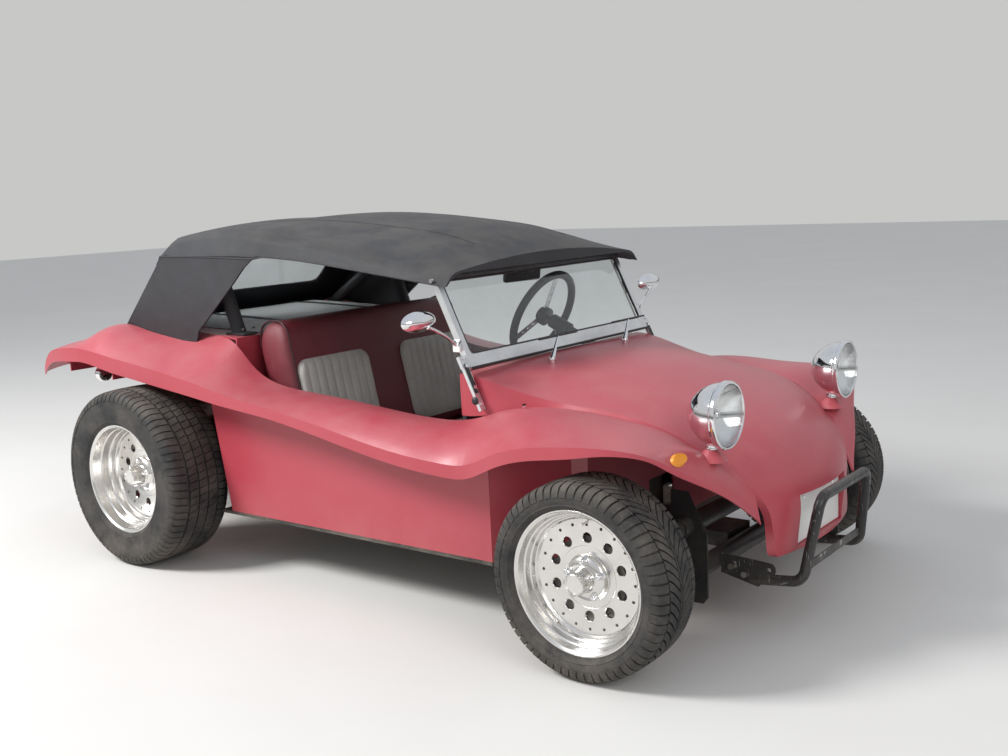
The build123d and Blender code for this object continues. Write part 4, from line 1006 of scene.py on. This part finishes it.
def make_tail_lamps():
    """Round lamps below the tail: chrome rim behind a domed red lens."""
    low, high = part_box("tail_lamps")
    middle = Vector(((low[0] + high[0]) / 2, -0.575, 0.678))
    lens = turned("lens", [
        (0, 0), (0, 0.0305), (0.006, 0.0300), (0.012, 0.0265), (0.017, 0.018), (0.019, 0.009), (0.0195, 0),
    ], 40, closed=False)
    moved(facing(lens, ahead=False), middle - Vector((0.0055, 0, 0)))
    body = turned("body", [
        (-0.0240, 0), (-0.0240, 0.0230), (-0.0180, 0.0310), (0.0010, 0.0335), (0.0055, 0.0330),
        (0.0060, 0.0300), (0.0045, 0.0290), (0.0040, 0),
    ], 40, closed=False)
    moved(facing(body, ahead=False), middle)
    stalk = rod("stalk", 0.006, middle.z + 0.030, high[2] - 0.0005, (middle.x, middle.y), 16)
    kept_pair(smooth(lens, 40), "tail lamp lens", "red_lens", ["tail_lamps"])
    kept_pair(smooth(join("body", [body, stalk]), 40), "tail lamp body", "chrome", ["tail_lamps"])


# Seats


def padded_block(name, rows, half, columns, swell, round_end):
    """Cushion skin: rows of (x, z) round its section, repeated across the car, swelling a little."""
    points, faces, full = [], [], 0.93
    centre = Vector((sum(x for x, z in rows), sum(z for x, z in rows))) / len(rows)
    for j in range(columns + 1):
        t = -1 + 2 * j / columns
        shrink = 1 - round_end * max(0.0, (abs(t) - full) / (1 - full)) ** 2
        for x, z in rows:
            grown = centre + (Vector((x, z)) - centre) * (shrink + swell * (1 - t * t))
            points.append((grown.x, t * half, grown.y))
    count = len(rows)
    for j in range(columns):
        for i in range(count):
            a, b = j * count + i, j * count + (i + 1) % count
            faces.append((a, b, b + count, a + count))
    faces.append(tuple(reversed(range(count))))
    faces.append(tuple(range(columns * count, (columns + 1) * count)))
    return outward(drawn(name, points, faces)), centre


def pleated_panel(label, lower, upper, ends, thick, rise, radius):
    """Panel of nine upright channels on a leaning face between two (x, z) points and two y."""
    pleats, steps, tall, back = 9, 6, 14, -0.006
    least_rim, end_run, side_run = 0.05, 0.02, 0.012
    up = Vector((upper[0] - lower[0], 0, upper[1] - lower[1]))
    height = up.length
    up.normalize()
    face = Vector((up.z, 0, -up.x))
    across = pleats * steps
    points, faces = [], []
    for layer in (0, 1):
        for i in range(across + 1):
            t = i / across
            edge = min(t, 1 - t) * (ends[1] - ends[0])
            cut = radius - math.sqrt(max(0.0, radius ** 2 - max(0.0, radius - edge) ** 2))
            channel = abs(math.sin(math.pi * t * pleats)) ** 0.55
            for k in range(tall + 1):
                s = cut + (height - 2 * cut) * k / tall
                near = min((s - cut) / end_run, (height - cut - s) / end_run, edge / side_run)
                rim = min(1.0, near + least_rim)
                lift = thick * rim ** 0.5 + rise * channel * min(1.0, rim) if layer else back
                y = ends[0] + (ends[1] - ends[0]) * t
                points.append(Vector((lower[0], y, lower[1])) + up * s + face * lift)
    row = tall + 1
    size = (across + 1) * row
    for i in range(across):
        for k in range(tall):
            a = i * row + k
            faces.append((a, a + row, a + row + 1, a + 1))
            faces.append(tuple(size + v for v in (a, a + 1, a + row + 1, a + row)))
    ring = [i * row for i in range(across + 1)] + [across * row + k for k in range(1, row)]
    ring += [i * row + tall for i in range(across - 1, -1, -1)] + list(range(tall - 1, 0, -1))
    for a, b in zip(ring, ring[1:] + ring[:1]):
        faces.append((a, b, size + b, size + a))
    panel = smooth(outward(drawn(label, points, faces)), 60)
    kept(panel, label, "red_vinyl", material=grey_vinyl)


def kept_pad(pad, label, replaced):
    """Finished cushion: subdivided once, shaded smooth and kept."""
    modifier(pad, "SUBSURF", levels=1, render_levels=1)
    kept(smooth(pad, 60), label, "red_vinyl", [replaced])


seat_gap = 0.092


def make_backrest():
    """Bench backrest with a thick rolled top, a welt and two pleated panels."""
    low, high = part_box("backrest")
    back, front, foot, top, half = low[0], high[0], low[2], high[2], high[1]
    rows = [
        (front - 0.006, foot + 0.004), (front - 0.028, foot + 0.10), (front - 0.052, foot + 0.20),
        (front - 0.076, foot + 0.30), (front - 0.094, foot + 0.38), (front - 0.104, foot + 0.43),
        (front - 0.116, foot + 0.468), (front - 0.140, top - 0.008), (front - 0.172, top - 0.002),
        (front - 0.206, top - 0.006), (back + 0.022, top - 0.022), (back + 0.006, top - 0.052),
        (back + 0.004, top - 0.100), (back + 0.030, foot + 0.30), (back + 0.062, foot + 0.15),
        (back + 0.098, foot + 0.004), (back + 0.140, foot + 0.002), (front - 0.060, foot + 0.002),
    ]
    pad, middle = padded_block("backrest pad", rows, half - 0.004, 28, 0.012, 0.16)
    welt_inset, welt_lift = 0.034, 1.004
    kept_pad(pad, "backrest pad", "backrest")
    for side, label in ((-1, "right"), (1, "left")):
        line = []
        for x, z in rows[1:13]:
            away = (Vector((x, z)) - middle) * welt_lift + middle
            line.append((away.x, side * (half - welt_inset), away.y))
        welt = smooth(tube("backrest welt", flowing(line, 4), 0.0038, sides=8), 60)
        kept(welt, "backrest welt " + label, "red_vinyl", material=welt_vinyl)
        span = sorted((side * seat_gap, side * (half - 0.040)))
        pleated_panel(
            "backrest panel " + label, (front - 0.016, foot + 0.040), (front - 0.084, foot + 0.355),
            span, 0.010, 0.0060, 0.045,
        )


def make_cushions():
    """Seat squabs with rounded edges and pleated tops."""
    low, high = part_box("seat_cushions")
    back, front, foot, top, outer = low[0], high[0], low[2], high[2], high[1]
    less = 0.004
    for side, label in ((-1, "right"), (1, "left")):
        pad = slab(
            "seat squab", (front - back - less, outer - seat_gap - less, top - foot - less),
            ((front + back) / 2, side * (outer + seat_gap) / 2, (top + foot) / 2),
        )
        bpy.ops.object.mode_set(mode="EDIT")
        bpy.ops.mesh.select_all(action="SELECT")
        bpy.ops.mesh.subdivide(number_cuts=5)
        bpy.ops.object.mode_set(mode="OBJECT")
        kept_pad(rounded(pad, 0.030, 3, 60), "seat squab " + label, "seat_cushions")
        span = sorted((side * (seat_gap + 0.045), side * (outer - 0.045)))
        pleated_panel(
            "squab panel " + label, (front - 0.060, top - 0.001), (back + 0.135, top - 0.001),
            span, 0.006, 0.0055, 0.035,
        )


def make_deck_cover():
    """White soft cover on the luggage deck behind the seat, held by two dark straps."""
    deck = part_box("rear_deck")[1][2]
    back, front, half = -1.070, -0.490, 0.405
    slope_from, slope_run, slope_fall = -0.9735, 0.512, 0.016
    lanes, rows = 20, 16

    def at(i, j, bottom):
        return 2 * (i * (lanes + 1) + j) + bottom

    points, faces = [], []
    for i in range(rows + 1):
        t = i / rows
        x = back + (front - back) * t
        base = deck + 0.0006 - slope_fall * max(0.0, (x - slope_from) / slope_run)
        for j in range(lanes + 1):
            s = -1 + 2 * j / lanes
            rim = min(1.0, (1 - abs(s)) * 10, t * 8, (1 - t) * 8)
            points.append((x, s * half, base + 0.004 + 0.022 * max(0.0, rim) ** 0.5))
            points.append((x, s * half, base))
    for i in range(rows):
        for j in range(lanes):
            for k in (0, 1):
                faces.append((at(i, j, k), at(i + 1, j, k), at(i + 1, j + 1, k), at(i, j + 1, k)))
    for i in range(rows):
        for j in (0, lanes):
            faces.append((at(i, j, 0), at(i + 1, j, 0), at(i + 1, j, 1), at(i, j, 1)))
    for j in range(lanes):
        for i in (0, rows):
            faces.append((at(i, j, 0), at(i, j + 1, 0), at(i, j + 1, 1), at(i, j, 1)))
    cover = outward(drawn("deck cover", points, faces))
    modifier(cover, "SUBSURF", levels=1, render_levels=1)
    kept(smooth(cover, 60), "deck cover", "red_vinyl", material=white_vinyl)
    half_strap = 0.014
    for y, label in ((-0.245, "right"), (0.245, "left")):
        line = flowing([(x, y, deck + z) for x, z in (
            (back - 0.012, 0.002), (back + 0.02, 0.024), (back + 0.08, 0.029), (-0.80, 0.026),
            (front - 0.08, 0.015), (front - 0.02, 0.010), (front + 0.012, -0.013),
        )], 5)
        edges = [(p.x, p.y + s * half_strap, p.z) for p in line for s in (-1, 1)]
        strips = [(2 * k, 2 * k + 1, 2 * k + 3, 2 * k + 2) for k in range(len(line) - 1)]
        strap = modifier(drawn("strap", edges, strips), "SOLIDIFY", thickness=0.0022, offset=1)
        kept(smooth(outward(strap), 50), "deck strap " + label, "black_vinyl")


# Steering wheel


def make_steering_wheel():
    """Moulded grip with bumps inside, three drilled flat spokes and a boss on its shaft."""
    joint = joints["steering_wheel_turn"]
    axis = Vector(joint["axis"]).normalized()
    if axis.x < 0:
        axis = -axis
    bumps, bump_ring = 48, 0.1615
    grip = [add(
        "torus", "grip", major_radius=0.170, minor_radius=0.0150, major_segments=96, minor_segments=14
    )]
    for k in range(bumps):
        angle = math.tau * k / bumps
        spot = (bump_ring * math.cos(angle), bump_ring * math.sin(angle), 0.0)
        grip.append(ball("grip bump", 0.0058, spot, segments=8, rings=6))
    boss = [
        rod("boss", 0.036, 0.000, 0.022, vertices=48), rod("horn ring", 0.029, -0.014, 0.001, vertices=48),
        rod("horn button", 0.020, -0.019, -0.012, vertices=40),
    ]
    for piece in boss:
        rounded(piece, 0.0025, 3)
    boss.append(rod("shaft", 0.010, 0.02, 0.94))
    spokes = []
    for angle in (90, 210, 330):
        spoke = slab("spoke", (0.140, 0.026, 0.0035), (0.096, 0, 0.003))
        for reach, radius in ((0.062, 0.0062), (0.092, 0.0056), (0.120, 0.0050)):
            cut_by(spoke, rod("hole", radius, -0.02, 0.02, (reach, 0), 20))
        spokes.append(changed(spoke, Matrix.Rotation(math.radians(angle), 4, "Z")))
    turn = axis.to_track_quat("Z", "Y").to_matrix().to_4x4()
    place = Matrix.Translation(Vector(joint["pos_m"])) @ turn
    for pieces, label, slot, degrees in (
        (grip, "grip", "black_plastic", 50), (spokes, "spokes", "frame_alloy", 30),
        (boss, "boss", "black_paint", 30),
    ):
        piece = smooth(changed(join(label, pieces), place), degrees)
        kept(piece, "steering wheel " + label, slot, ["steering_wheel"], body="steering_wheel")


# Windscreen, hardtop and small fittings

screen_lean = math.radians(25.5)
screen_foot = Vector((front_axle.x - 0.552, 0, 0.7955))


def screen_point(y, up, out=0.0):
    """Place on the windscreen frame: y, a way up the leaning frame and a way out of it."""
    ahead = out * math.cos(screen_lean) - up * math.sin(screen_lean)
    above = out * math.sin(screen_lean) + up * math.cos(screen_lean)
    return screen_foot + Vector((ahead, y, above))


def make_screen_trim():
    """Rubber seal round the pane, rubber below the frame, slotted plates and knobs on the legs."""
    pane, foot_half, leg, face = 0.511, 0.535, -0.554, 0.0075
    corners = ((-pane, 0.150), (-pane, 0.046), (pane, 0.046), (pane, 0.296), (-pane, 0.296), (-pane, 0.151))
    line = bent([screen_point(y, up, 0.008) for y, up in corners], 0.014, 5)
    kept(smooth(tube("seal", line, 0.0042, sides=8), 60), "windscreen seal", "black_plastic")
    line = [screen_point(y / 20 * foot_half, 0.000, 0.0125) for y in range(-20, 21)]
    kept(smooth(tube("rubber", line, 0.0045, sides=8), 60), "windscreen foot rubber", "black_plastic")
    screws = []
    for up in (-0.115, -0.060, 0.012, 0.040):
        screw = add("cylinder", "screw", vertices=16, radius=0.0062, depth=0.005)
        changed(screw, Matrix.Rotation(math.pi / 2 - screen_lean, 4, "Y"))
        screws.append(moved(screw, screen_point(leg, up, face)))
    kept_pair(smooth(join("screws", screws), 30), "windscreen leg screws", "chrome")
    slots = [slab("slot", (0.02, 0.0052, 0.011), (0, 0, k * 0.018)) for k in range(-2, 3)]
    plate = cut_by(slab("plate", (0.0022, 0.013, 0.098)), join("slots", slots))
    changed(plate, Matrix.Rotation(-screen_lean, 4, "Y"))
    moved(plate, screen_point(leg, -0.030, 0.0072))
    kept_pair(smooth(plate, 30), "windscreen slotted plate", "black_paint")
    knob = turned("knob", [
        (0, 0), (0, 0.010), (0.002, 0.012), (0.005, 0.0125), (0.008, 0.010), (0.0095, 0.005), (0.0097, 0),
    ], 24, closed=False)
    moved(knob, screen_point(leg - 0.0125, -0.100))
    kept_pair(smooth(knob, 40), "windscreen clamp knob", "black_plastic")


def rear_pane_corners():
    """Corners of the pane in the rear wall, read from its mesh."""
    rear = [v.co for v in nodes["windows"].data.vertices if v.co.x < 0]
    top, low = max(v.z for v in rear), min(v.z for v in rear)
    wide = max(v.y for v in rear)
    x_top = min(v.x for v in rear if v.z > top - 0.01)
    x_low = min(v.x for v in rear if v.z < low + 0.01)
    return [
        Vector((x_low, -wide, low)), Vector((x_low, wide, low)),
        Vector((x_top, wide, top)), Vector((x_top, -wide, top)),
    ]


def make_hardtop_trim():
    """Bound edges, seams of the sails and the roof, and a seal round the rear window."""
    share = [k / 40 for k in range(41)]
    above_roof = 1.40
    pieces = []
    for side in (-1, 1):
        seam = [(-0.90 + 0.62 * t, side * 0.60, 1.168 - 0.020 * t) for t in share]
        pieces.append(tube("sail seam", on_surface("hardtop", seam, 0.0004), 0.0022, sides=8))
        ridge = [(-0.84 + 1.39 * t, side * 0.585, 1.150 - 0.086 * t ** 2.2) for t in share]
        pieces.append(tube("edge binding", on_surface("hardtop", ridge), 0.0030, sides=8))
    for y in (-0.30, 0.30):
        seam = [(-0.62 + 1.15 * t, y, above_roof) for t in share]
        pieces.append(tube("roof seam", on_surface("hardtop", seam, 0.0002), 0.0018, sides=8))
    kept(smooth(join("trim", pieces), 60), "hardtop trim", "black_vinyl")
    corners = rear_pane_corners()
    seal = tube("seal", bent(corners + corners[:2], 0.035, 6)[1:-1], 0.0065, closed=True, sides=10)
    kept(smooth(seal, 60), "rear window seal", "black_plastic")


def make_inside_mirror():
    """Driver's mirror: a rounded dark shell with its glass, hanging from the windscreen frame."""
    middle = Vector((0.470, -0.034, 1.056))
    shell = rounded(slab("shell", (0.022, 0.168, 0.066)), 0.009, 4)
    glass = rounded(slab("glass", (0.004, 0.152, 0.052), (-0.0105, 0, 0)), 0.0015, 2)
    turn = Matrix.Rotation(math.radians(-10), 4, "Z") @ Matrix.Rotation(math.radians(8), 4, "Y")
    for piece, label, slot in (
        (shell, "inside mirror", "black_plastic"), (glass, "inside mirror glass", "chrome"),
    ):
        kept(smooth(moved(changed(piece, turn), middle), 40), label, slot)
    line = flowing([middle + Vector(way) for way in ((0, 0, 0.002), (0.016, 0, 0.022), (0.024, 0, 0.034))], 5)
    kept(smooth(tube("stem", line, 0.005, sides=10), 60), "inside mirror stem", "black_plastic")


def make_door_mirrors():
    """Oval chrome shells, domed in front, on slim bent stalks from the windscreen posts."""
    middle = Vector((0.5715, -0.684, 0.959))
    shell = facing(turned("shell", [
        (0.0190, 0), (0.0180, 0.14), (0.0150, 0.34), (0.0090, 0.60), (0.0010, 0.82), (-0.0080, 0.95),
        (-0.0140, 0.99), (-0.0165, 1.0), (-0.0175, 0.985), (-0.0165, 0.955), (-0.0160, 0.0),
    ], 56, closed=False))
    moved(changed(shell, Matrix.Diagonal((1.0, 0.076, 0.033, 1.0))), middle)
    post = Vector((0.5865, -0.545, 0.870))
    line = flowing([
        middle + Vector((0.006, 0.020, -0.018)), middle + Vector((0.014, 0.050, -0.034)),
        post + Vector((0.004, -0.050, 0.032)), post,
    ], 6)
    clamp = rounded(slab("clamp", (0.030, 0.012, 0.040), (0.5865, -0.543, 0.868)), 0.003, 3)
    pieces = [shell, tube("stalk", line, 0.0048, sides=12), clamp, ball("ball", 0.0085, tuple(line[0]))]
    kept_pair(smooth(outward(join("mirror", pieces)), 45), "door mirror", "chrome", ["mirrors"])


def make_wipers():
    """Tapered bright arms on their spindles, with slim rubber blades along the foot of the glass."""
    spindle_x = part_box("wipers")[1][0] - 0.008
    half_blade, above_hood, hinge_lift, cap_top = 0.11, 0.80, 0.014, 0.020
    for spindle_y, label in ((-0.262, "right"), (0.186, "left")):
        foot = on_surface("hood", [(spindle_x, spindle_y, above_hood)])[0]
        tip = foot + Vector((-0.052, 0.112, 0.074))
        pieces = [
            rod("spindle", 0.0085, foot.z - 0.002, foot.z + cap_top, (foot.x, foot.y)),
            rod("cap", 0.0110, foot.z + 0.008, foot.z + cap_top, (foot.x, foot.y)),
        ]
        for piece in pieces:
            rounded(piece, 0.0014, 2)
        hinge = foot + Vector((0, 0, hinge_lift))
        way = tip - hinge
        arm = add("cone", "arm", vertices=20, radius1=0.0085, radius2=0.0030, depth=1)
        changed(arm, Matrix.Diagonal((1, 0.62, way.length, 1)))
        changed(arm, way.to_track_quat("Z", "Y").to_matrix().to_4x4())
        pieces.append(moved(arm, hinge + way / 2))
        wiper = smooth(join("wiper", pieces), 40)
        kept(wiper, "wiper arm " + label, "frame_alloy", ["wipers"], material=finish["chrome"])
        line = [tip + Vector((0.0, half_blade * k / 10, 0.0)) for k in range(-10, 11)]
        blade = smooth(tube("blade", line, 0.0034, sides=8), 40)
        kept(blade, "wiper blade " + label, "black_plastic", ["wipers"])


def bolt_head(place, axis, radius, tall, sides=6):
    """Head that stands on a place and looks along an axis."""
    head = add("cylinder", "bolt", vertices=sides, radius=radius, depth=tall)
    changed(head, Vector(axis).to_track_quat("Z", "Y").to_matrix().to_4x4())
    return moved(head, Vector(place) + Vector(axis).normalized() * tall / 2)


def make_bolts():
    """Bolt heads on the bumper's plates and the hoop's feet, studs on plates, hardtop and hood."""
    heads = []
    for side in (-1, 1):
        for x, z in ((1.362, 0.198), (1.405, 0.180)):
            heads.append(bolt_head((x, side * 0.246, z), (0, side, 0), 0.010, 0.008))
        for x in (-0.5635, -0.4835, -1.0335, -0.9735):
            for y in (0.440, 0.490):
                heads.append(bolt_head((x, side * y, 0.8735), (0, 0, 1), 0.0060, 0.005))
    kept(smooth(join("bolts", heads), 30), "bolts", "black_steel", material=finish["cast_alloy"])
    rear, front = (corner[0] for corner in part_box("number_plates"))
    studs = []
    for y in (-0.110, 0.110):
        studs.append(bolt_head((front, y, 0.400), (1, 0, 0), 0.0055, 0.003, 16))
        studs.append(bolt_head((rear, y, 0.668), (-1, 0, 0), 0.0055, 0.003, 16))
    for side in (-1, 1):
        studs.append(bolt_head((0.523, side * 0.5725, 1.072), (0, side, 0.1), 0.0070, 0.007, 16))
        studs.append(bolt_head((0.850, side * 0.560, 0.700), (0, side * 0.3, 1), 0.0070, 0.006, 16))
    kept(smooth(join("studs", studs), 40), "studs", "chrome")


def make_engine():
    """Flat engine in its plain block's place: case, fan shroud, finned heads, pulleys and air cleaner."""
    low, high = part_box("engine")
    x0, x1, z0, z1 = low[0], high[0], low[2], high[2]
    middle, fan_x, fan_z, cleaner_at = (x0 + x1) / 2 + 0.02, x0 + 0.155, z1 - 0.150, (x1 - 0.150, 0)
    first_fin, fin_pitch = 0.14, 0.019

    def block(place, size, width=0.008):
        return rounded(slab("block", size, place), width, 2)

    parts = [block((middle, 0, z0 + 0.120), (x1 - x0 - 0.10, 0.24, 0.22), 0.02)]
    for side in (-1, 1):
        for k in range(9):
            fin_at = (middle, side * (first_fin + fin_pitch * k), z0 + 0.135)
            parts.append(block(fin_at, (0.34, 0.006, 0.150), 0.0015))
        parts.append(block((middle, side * 0.225, z0 + 0.135), (0.28, 0.19, 0.10), 0.01))
        parts.append(block((middle, side * 0.335, z0 + 0.125), (0.30, 0.050, 0.090), 0.015))
    kept(smooth(join("case", parts), 30), "engine case", "cast_alloy", ["engine"])
    fan = turned("fan housing", [
        (-0.055, 0), (-0.055, 0.125), (-0.040, 0.142), (0.040, 0.142), (0.055, 0.125), (0.055, 0),
    ], 48, closed=False)
    moved(facing(fan), (fan_x, 0, fan_z))
    duct = block((fan_x, 0, z0 + 0.235), (0.10, 0.42, 0.05), 0.015)
    shroud = smooth(join("shroud", [fan, duct]), 30)
    kept(shroud, "fan shroud", "black_steel", ["engine"], material=finish["black_paint"])
    fittings = []
    for name, place, radius, depth in (
        ("lower pulley", (x0 + 0.030, 0, z0 + 0.110), 0.088, 0.020),
        ("dynamo pulley", (x0 + 0.030, 0, fan_z), 0.050, 0.020),
        ("dynamo", (x0 + 0.085, 0, fan_z), 0.048, 0.090),
    ):
        half, waist = depth / 2, depth / 8
        piece = turned(name, [
            (-half, 0), (-half, radius), (-waist, radius - 0.006), (waist, radius - 0.006), (half, radius),
            (half, 0),
        ], 40, closed=False)
        fittings.append(moved(facing(piece), place))
    fittings.append(rounded(rod("air cleaner", 0.085, z1 - 0.062, z1 - 0.006, cleaner_at, 48), 0.008, 3))
    fittings.append(rod("carburettor", 0.026, z0 + 0.22, z1 - 0.06, cleaner_at))
    kept(
        smooth(join("fittings", fittings), 30), "engine pulleys and cleaner", "cast_alloy", ["engine"],
        material=finish["frame_alloy"],
    )


def make_gauges():
    """Three round gauges and a row of pull knobs on the dashboard, facing the seat."""
    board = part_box("dashboard")[0][0] + 0.0005
    faces, rims = [], []
    for y, z, radius in ((0.375, 0.712, 0.050), (0.245, 0.712, 0.050), (0.115, 0.720, 0.028)):
        inner = radius - 0.003
        face = turned("gauge", [(0, 0), (0, inner), (0.004, inner), (0.005, 0)], 40, closed=False)
        rim = turned("rim", [
            (0, radius - 0.005), (0, radius + 0.002), (0.006, radius + 0.002), (0.009, radius - 0.001),
            (0.008, radius - 0.004), (0.004, radius - 0.005),
        ], 40)
        faces.append(moved(facing(face, ahead=False), (board, y, z)))
        rims.append(moved(facing(rim, ahead=False), (board, y, z)))
    for y in (0.04, -0.02, -0.08, -0.14):
        knob = turned("knob", [
            (0, 0), (0, 0.004), (0.012, 0.004), (0.013, 0.010), (0.018, 0.011), (0.021, 0.008), (0.0215, 0),
        ], 20, closed=False)
        faces.append(moved(facing(knob, ahead=False), (board, y, 0.700)))
    kept(smooth(join("faces", faces), 35), "gauge faces", "black_plastic")
    kept(smooth(join("rims", rims), 35), "gauge rims", "chrome")


def soften_cad_edges():
    """Small rounded edges on the CAD pieces whose corners catch the light."""
    for name, width in (
        ("dashboard", 0.003), ("front_bumper", 0.0012), ("windscreen_frame", 0.0018),
        ("floor_pan", 0.002), ("suspension_arms", 0.0015), ("front_beam", 0.0015),
        ("rear_axle", 0.002), ("controls", 0.0012), ("steering_box", 0.002), ("indicators", 0.0015),
        ("exhaust", 0.004), ("number_plates", 0.0004), ("pitman_arm", 0.001),
    ):
        bevel = nodes[name].modifiers.new("rounded edges", "BEVEL")
        bevel.width = width
        bevel.segments = 2
        bevel.limit_method = "ANGLE"
        bevel.angle_limit = math.radians(40)


make_headlamps()
make_tail_lamps()
make_backrest()
make_cushions()
make_deck_cover()
make_steering_wheel()
make_screen_trim()
make_hardtop_trim()
make_inside_mirror()
make_door_mirrors()
make_wipers()
make_bolts()
make_engine()
make_gauges()
soften_cad_edges()
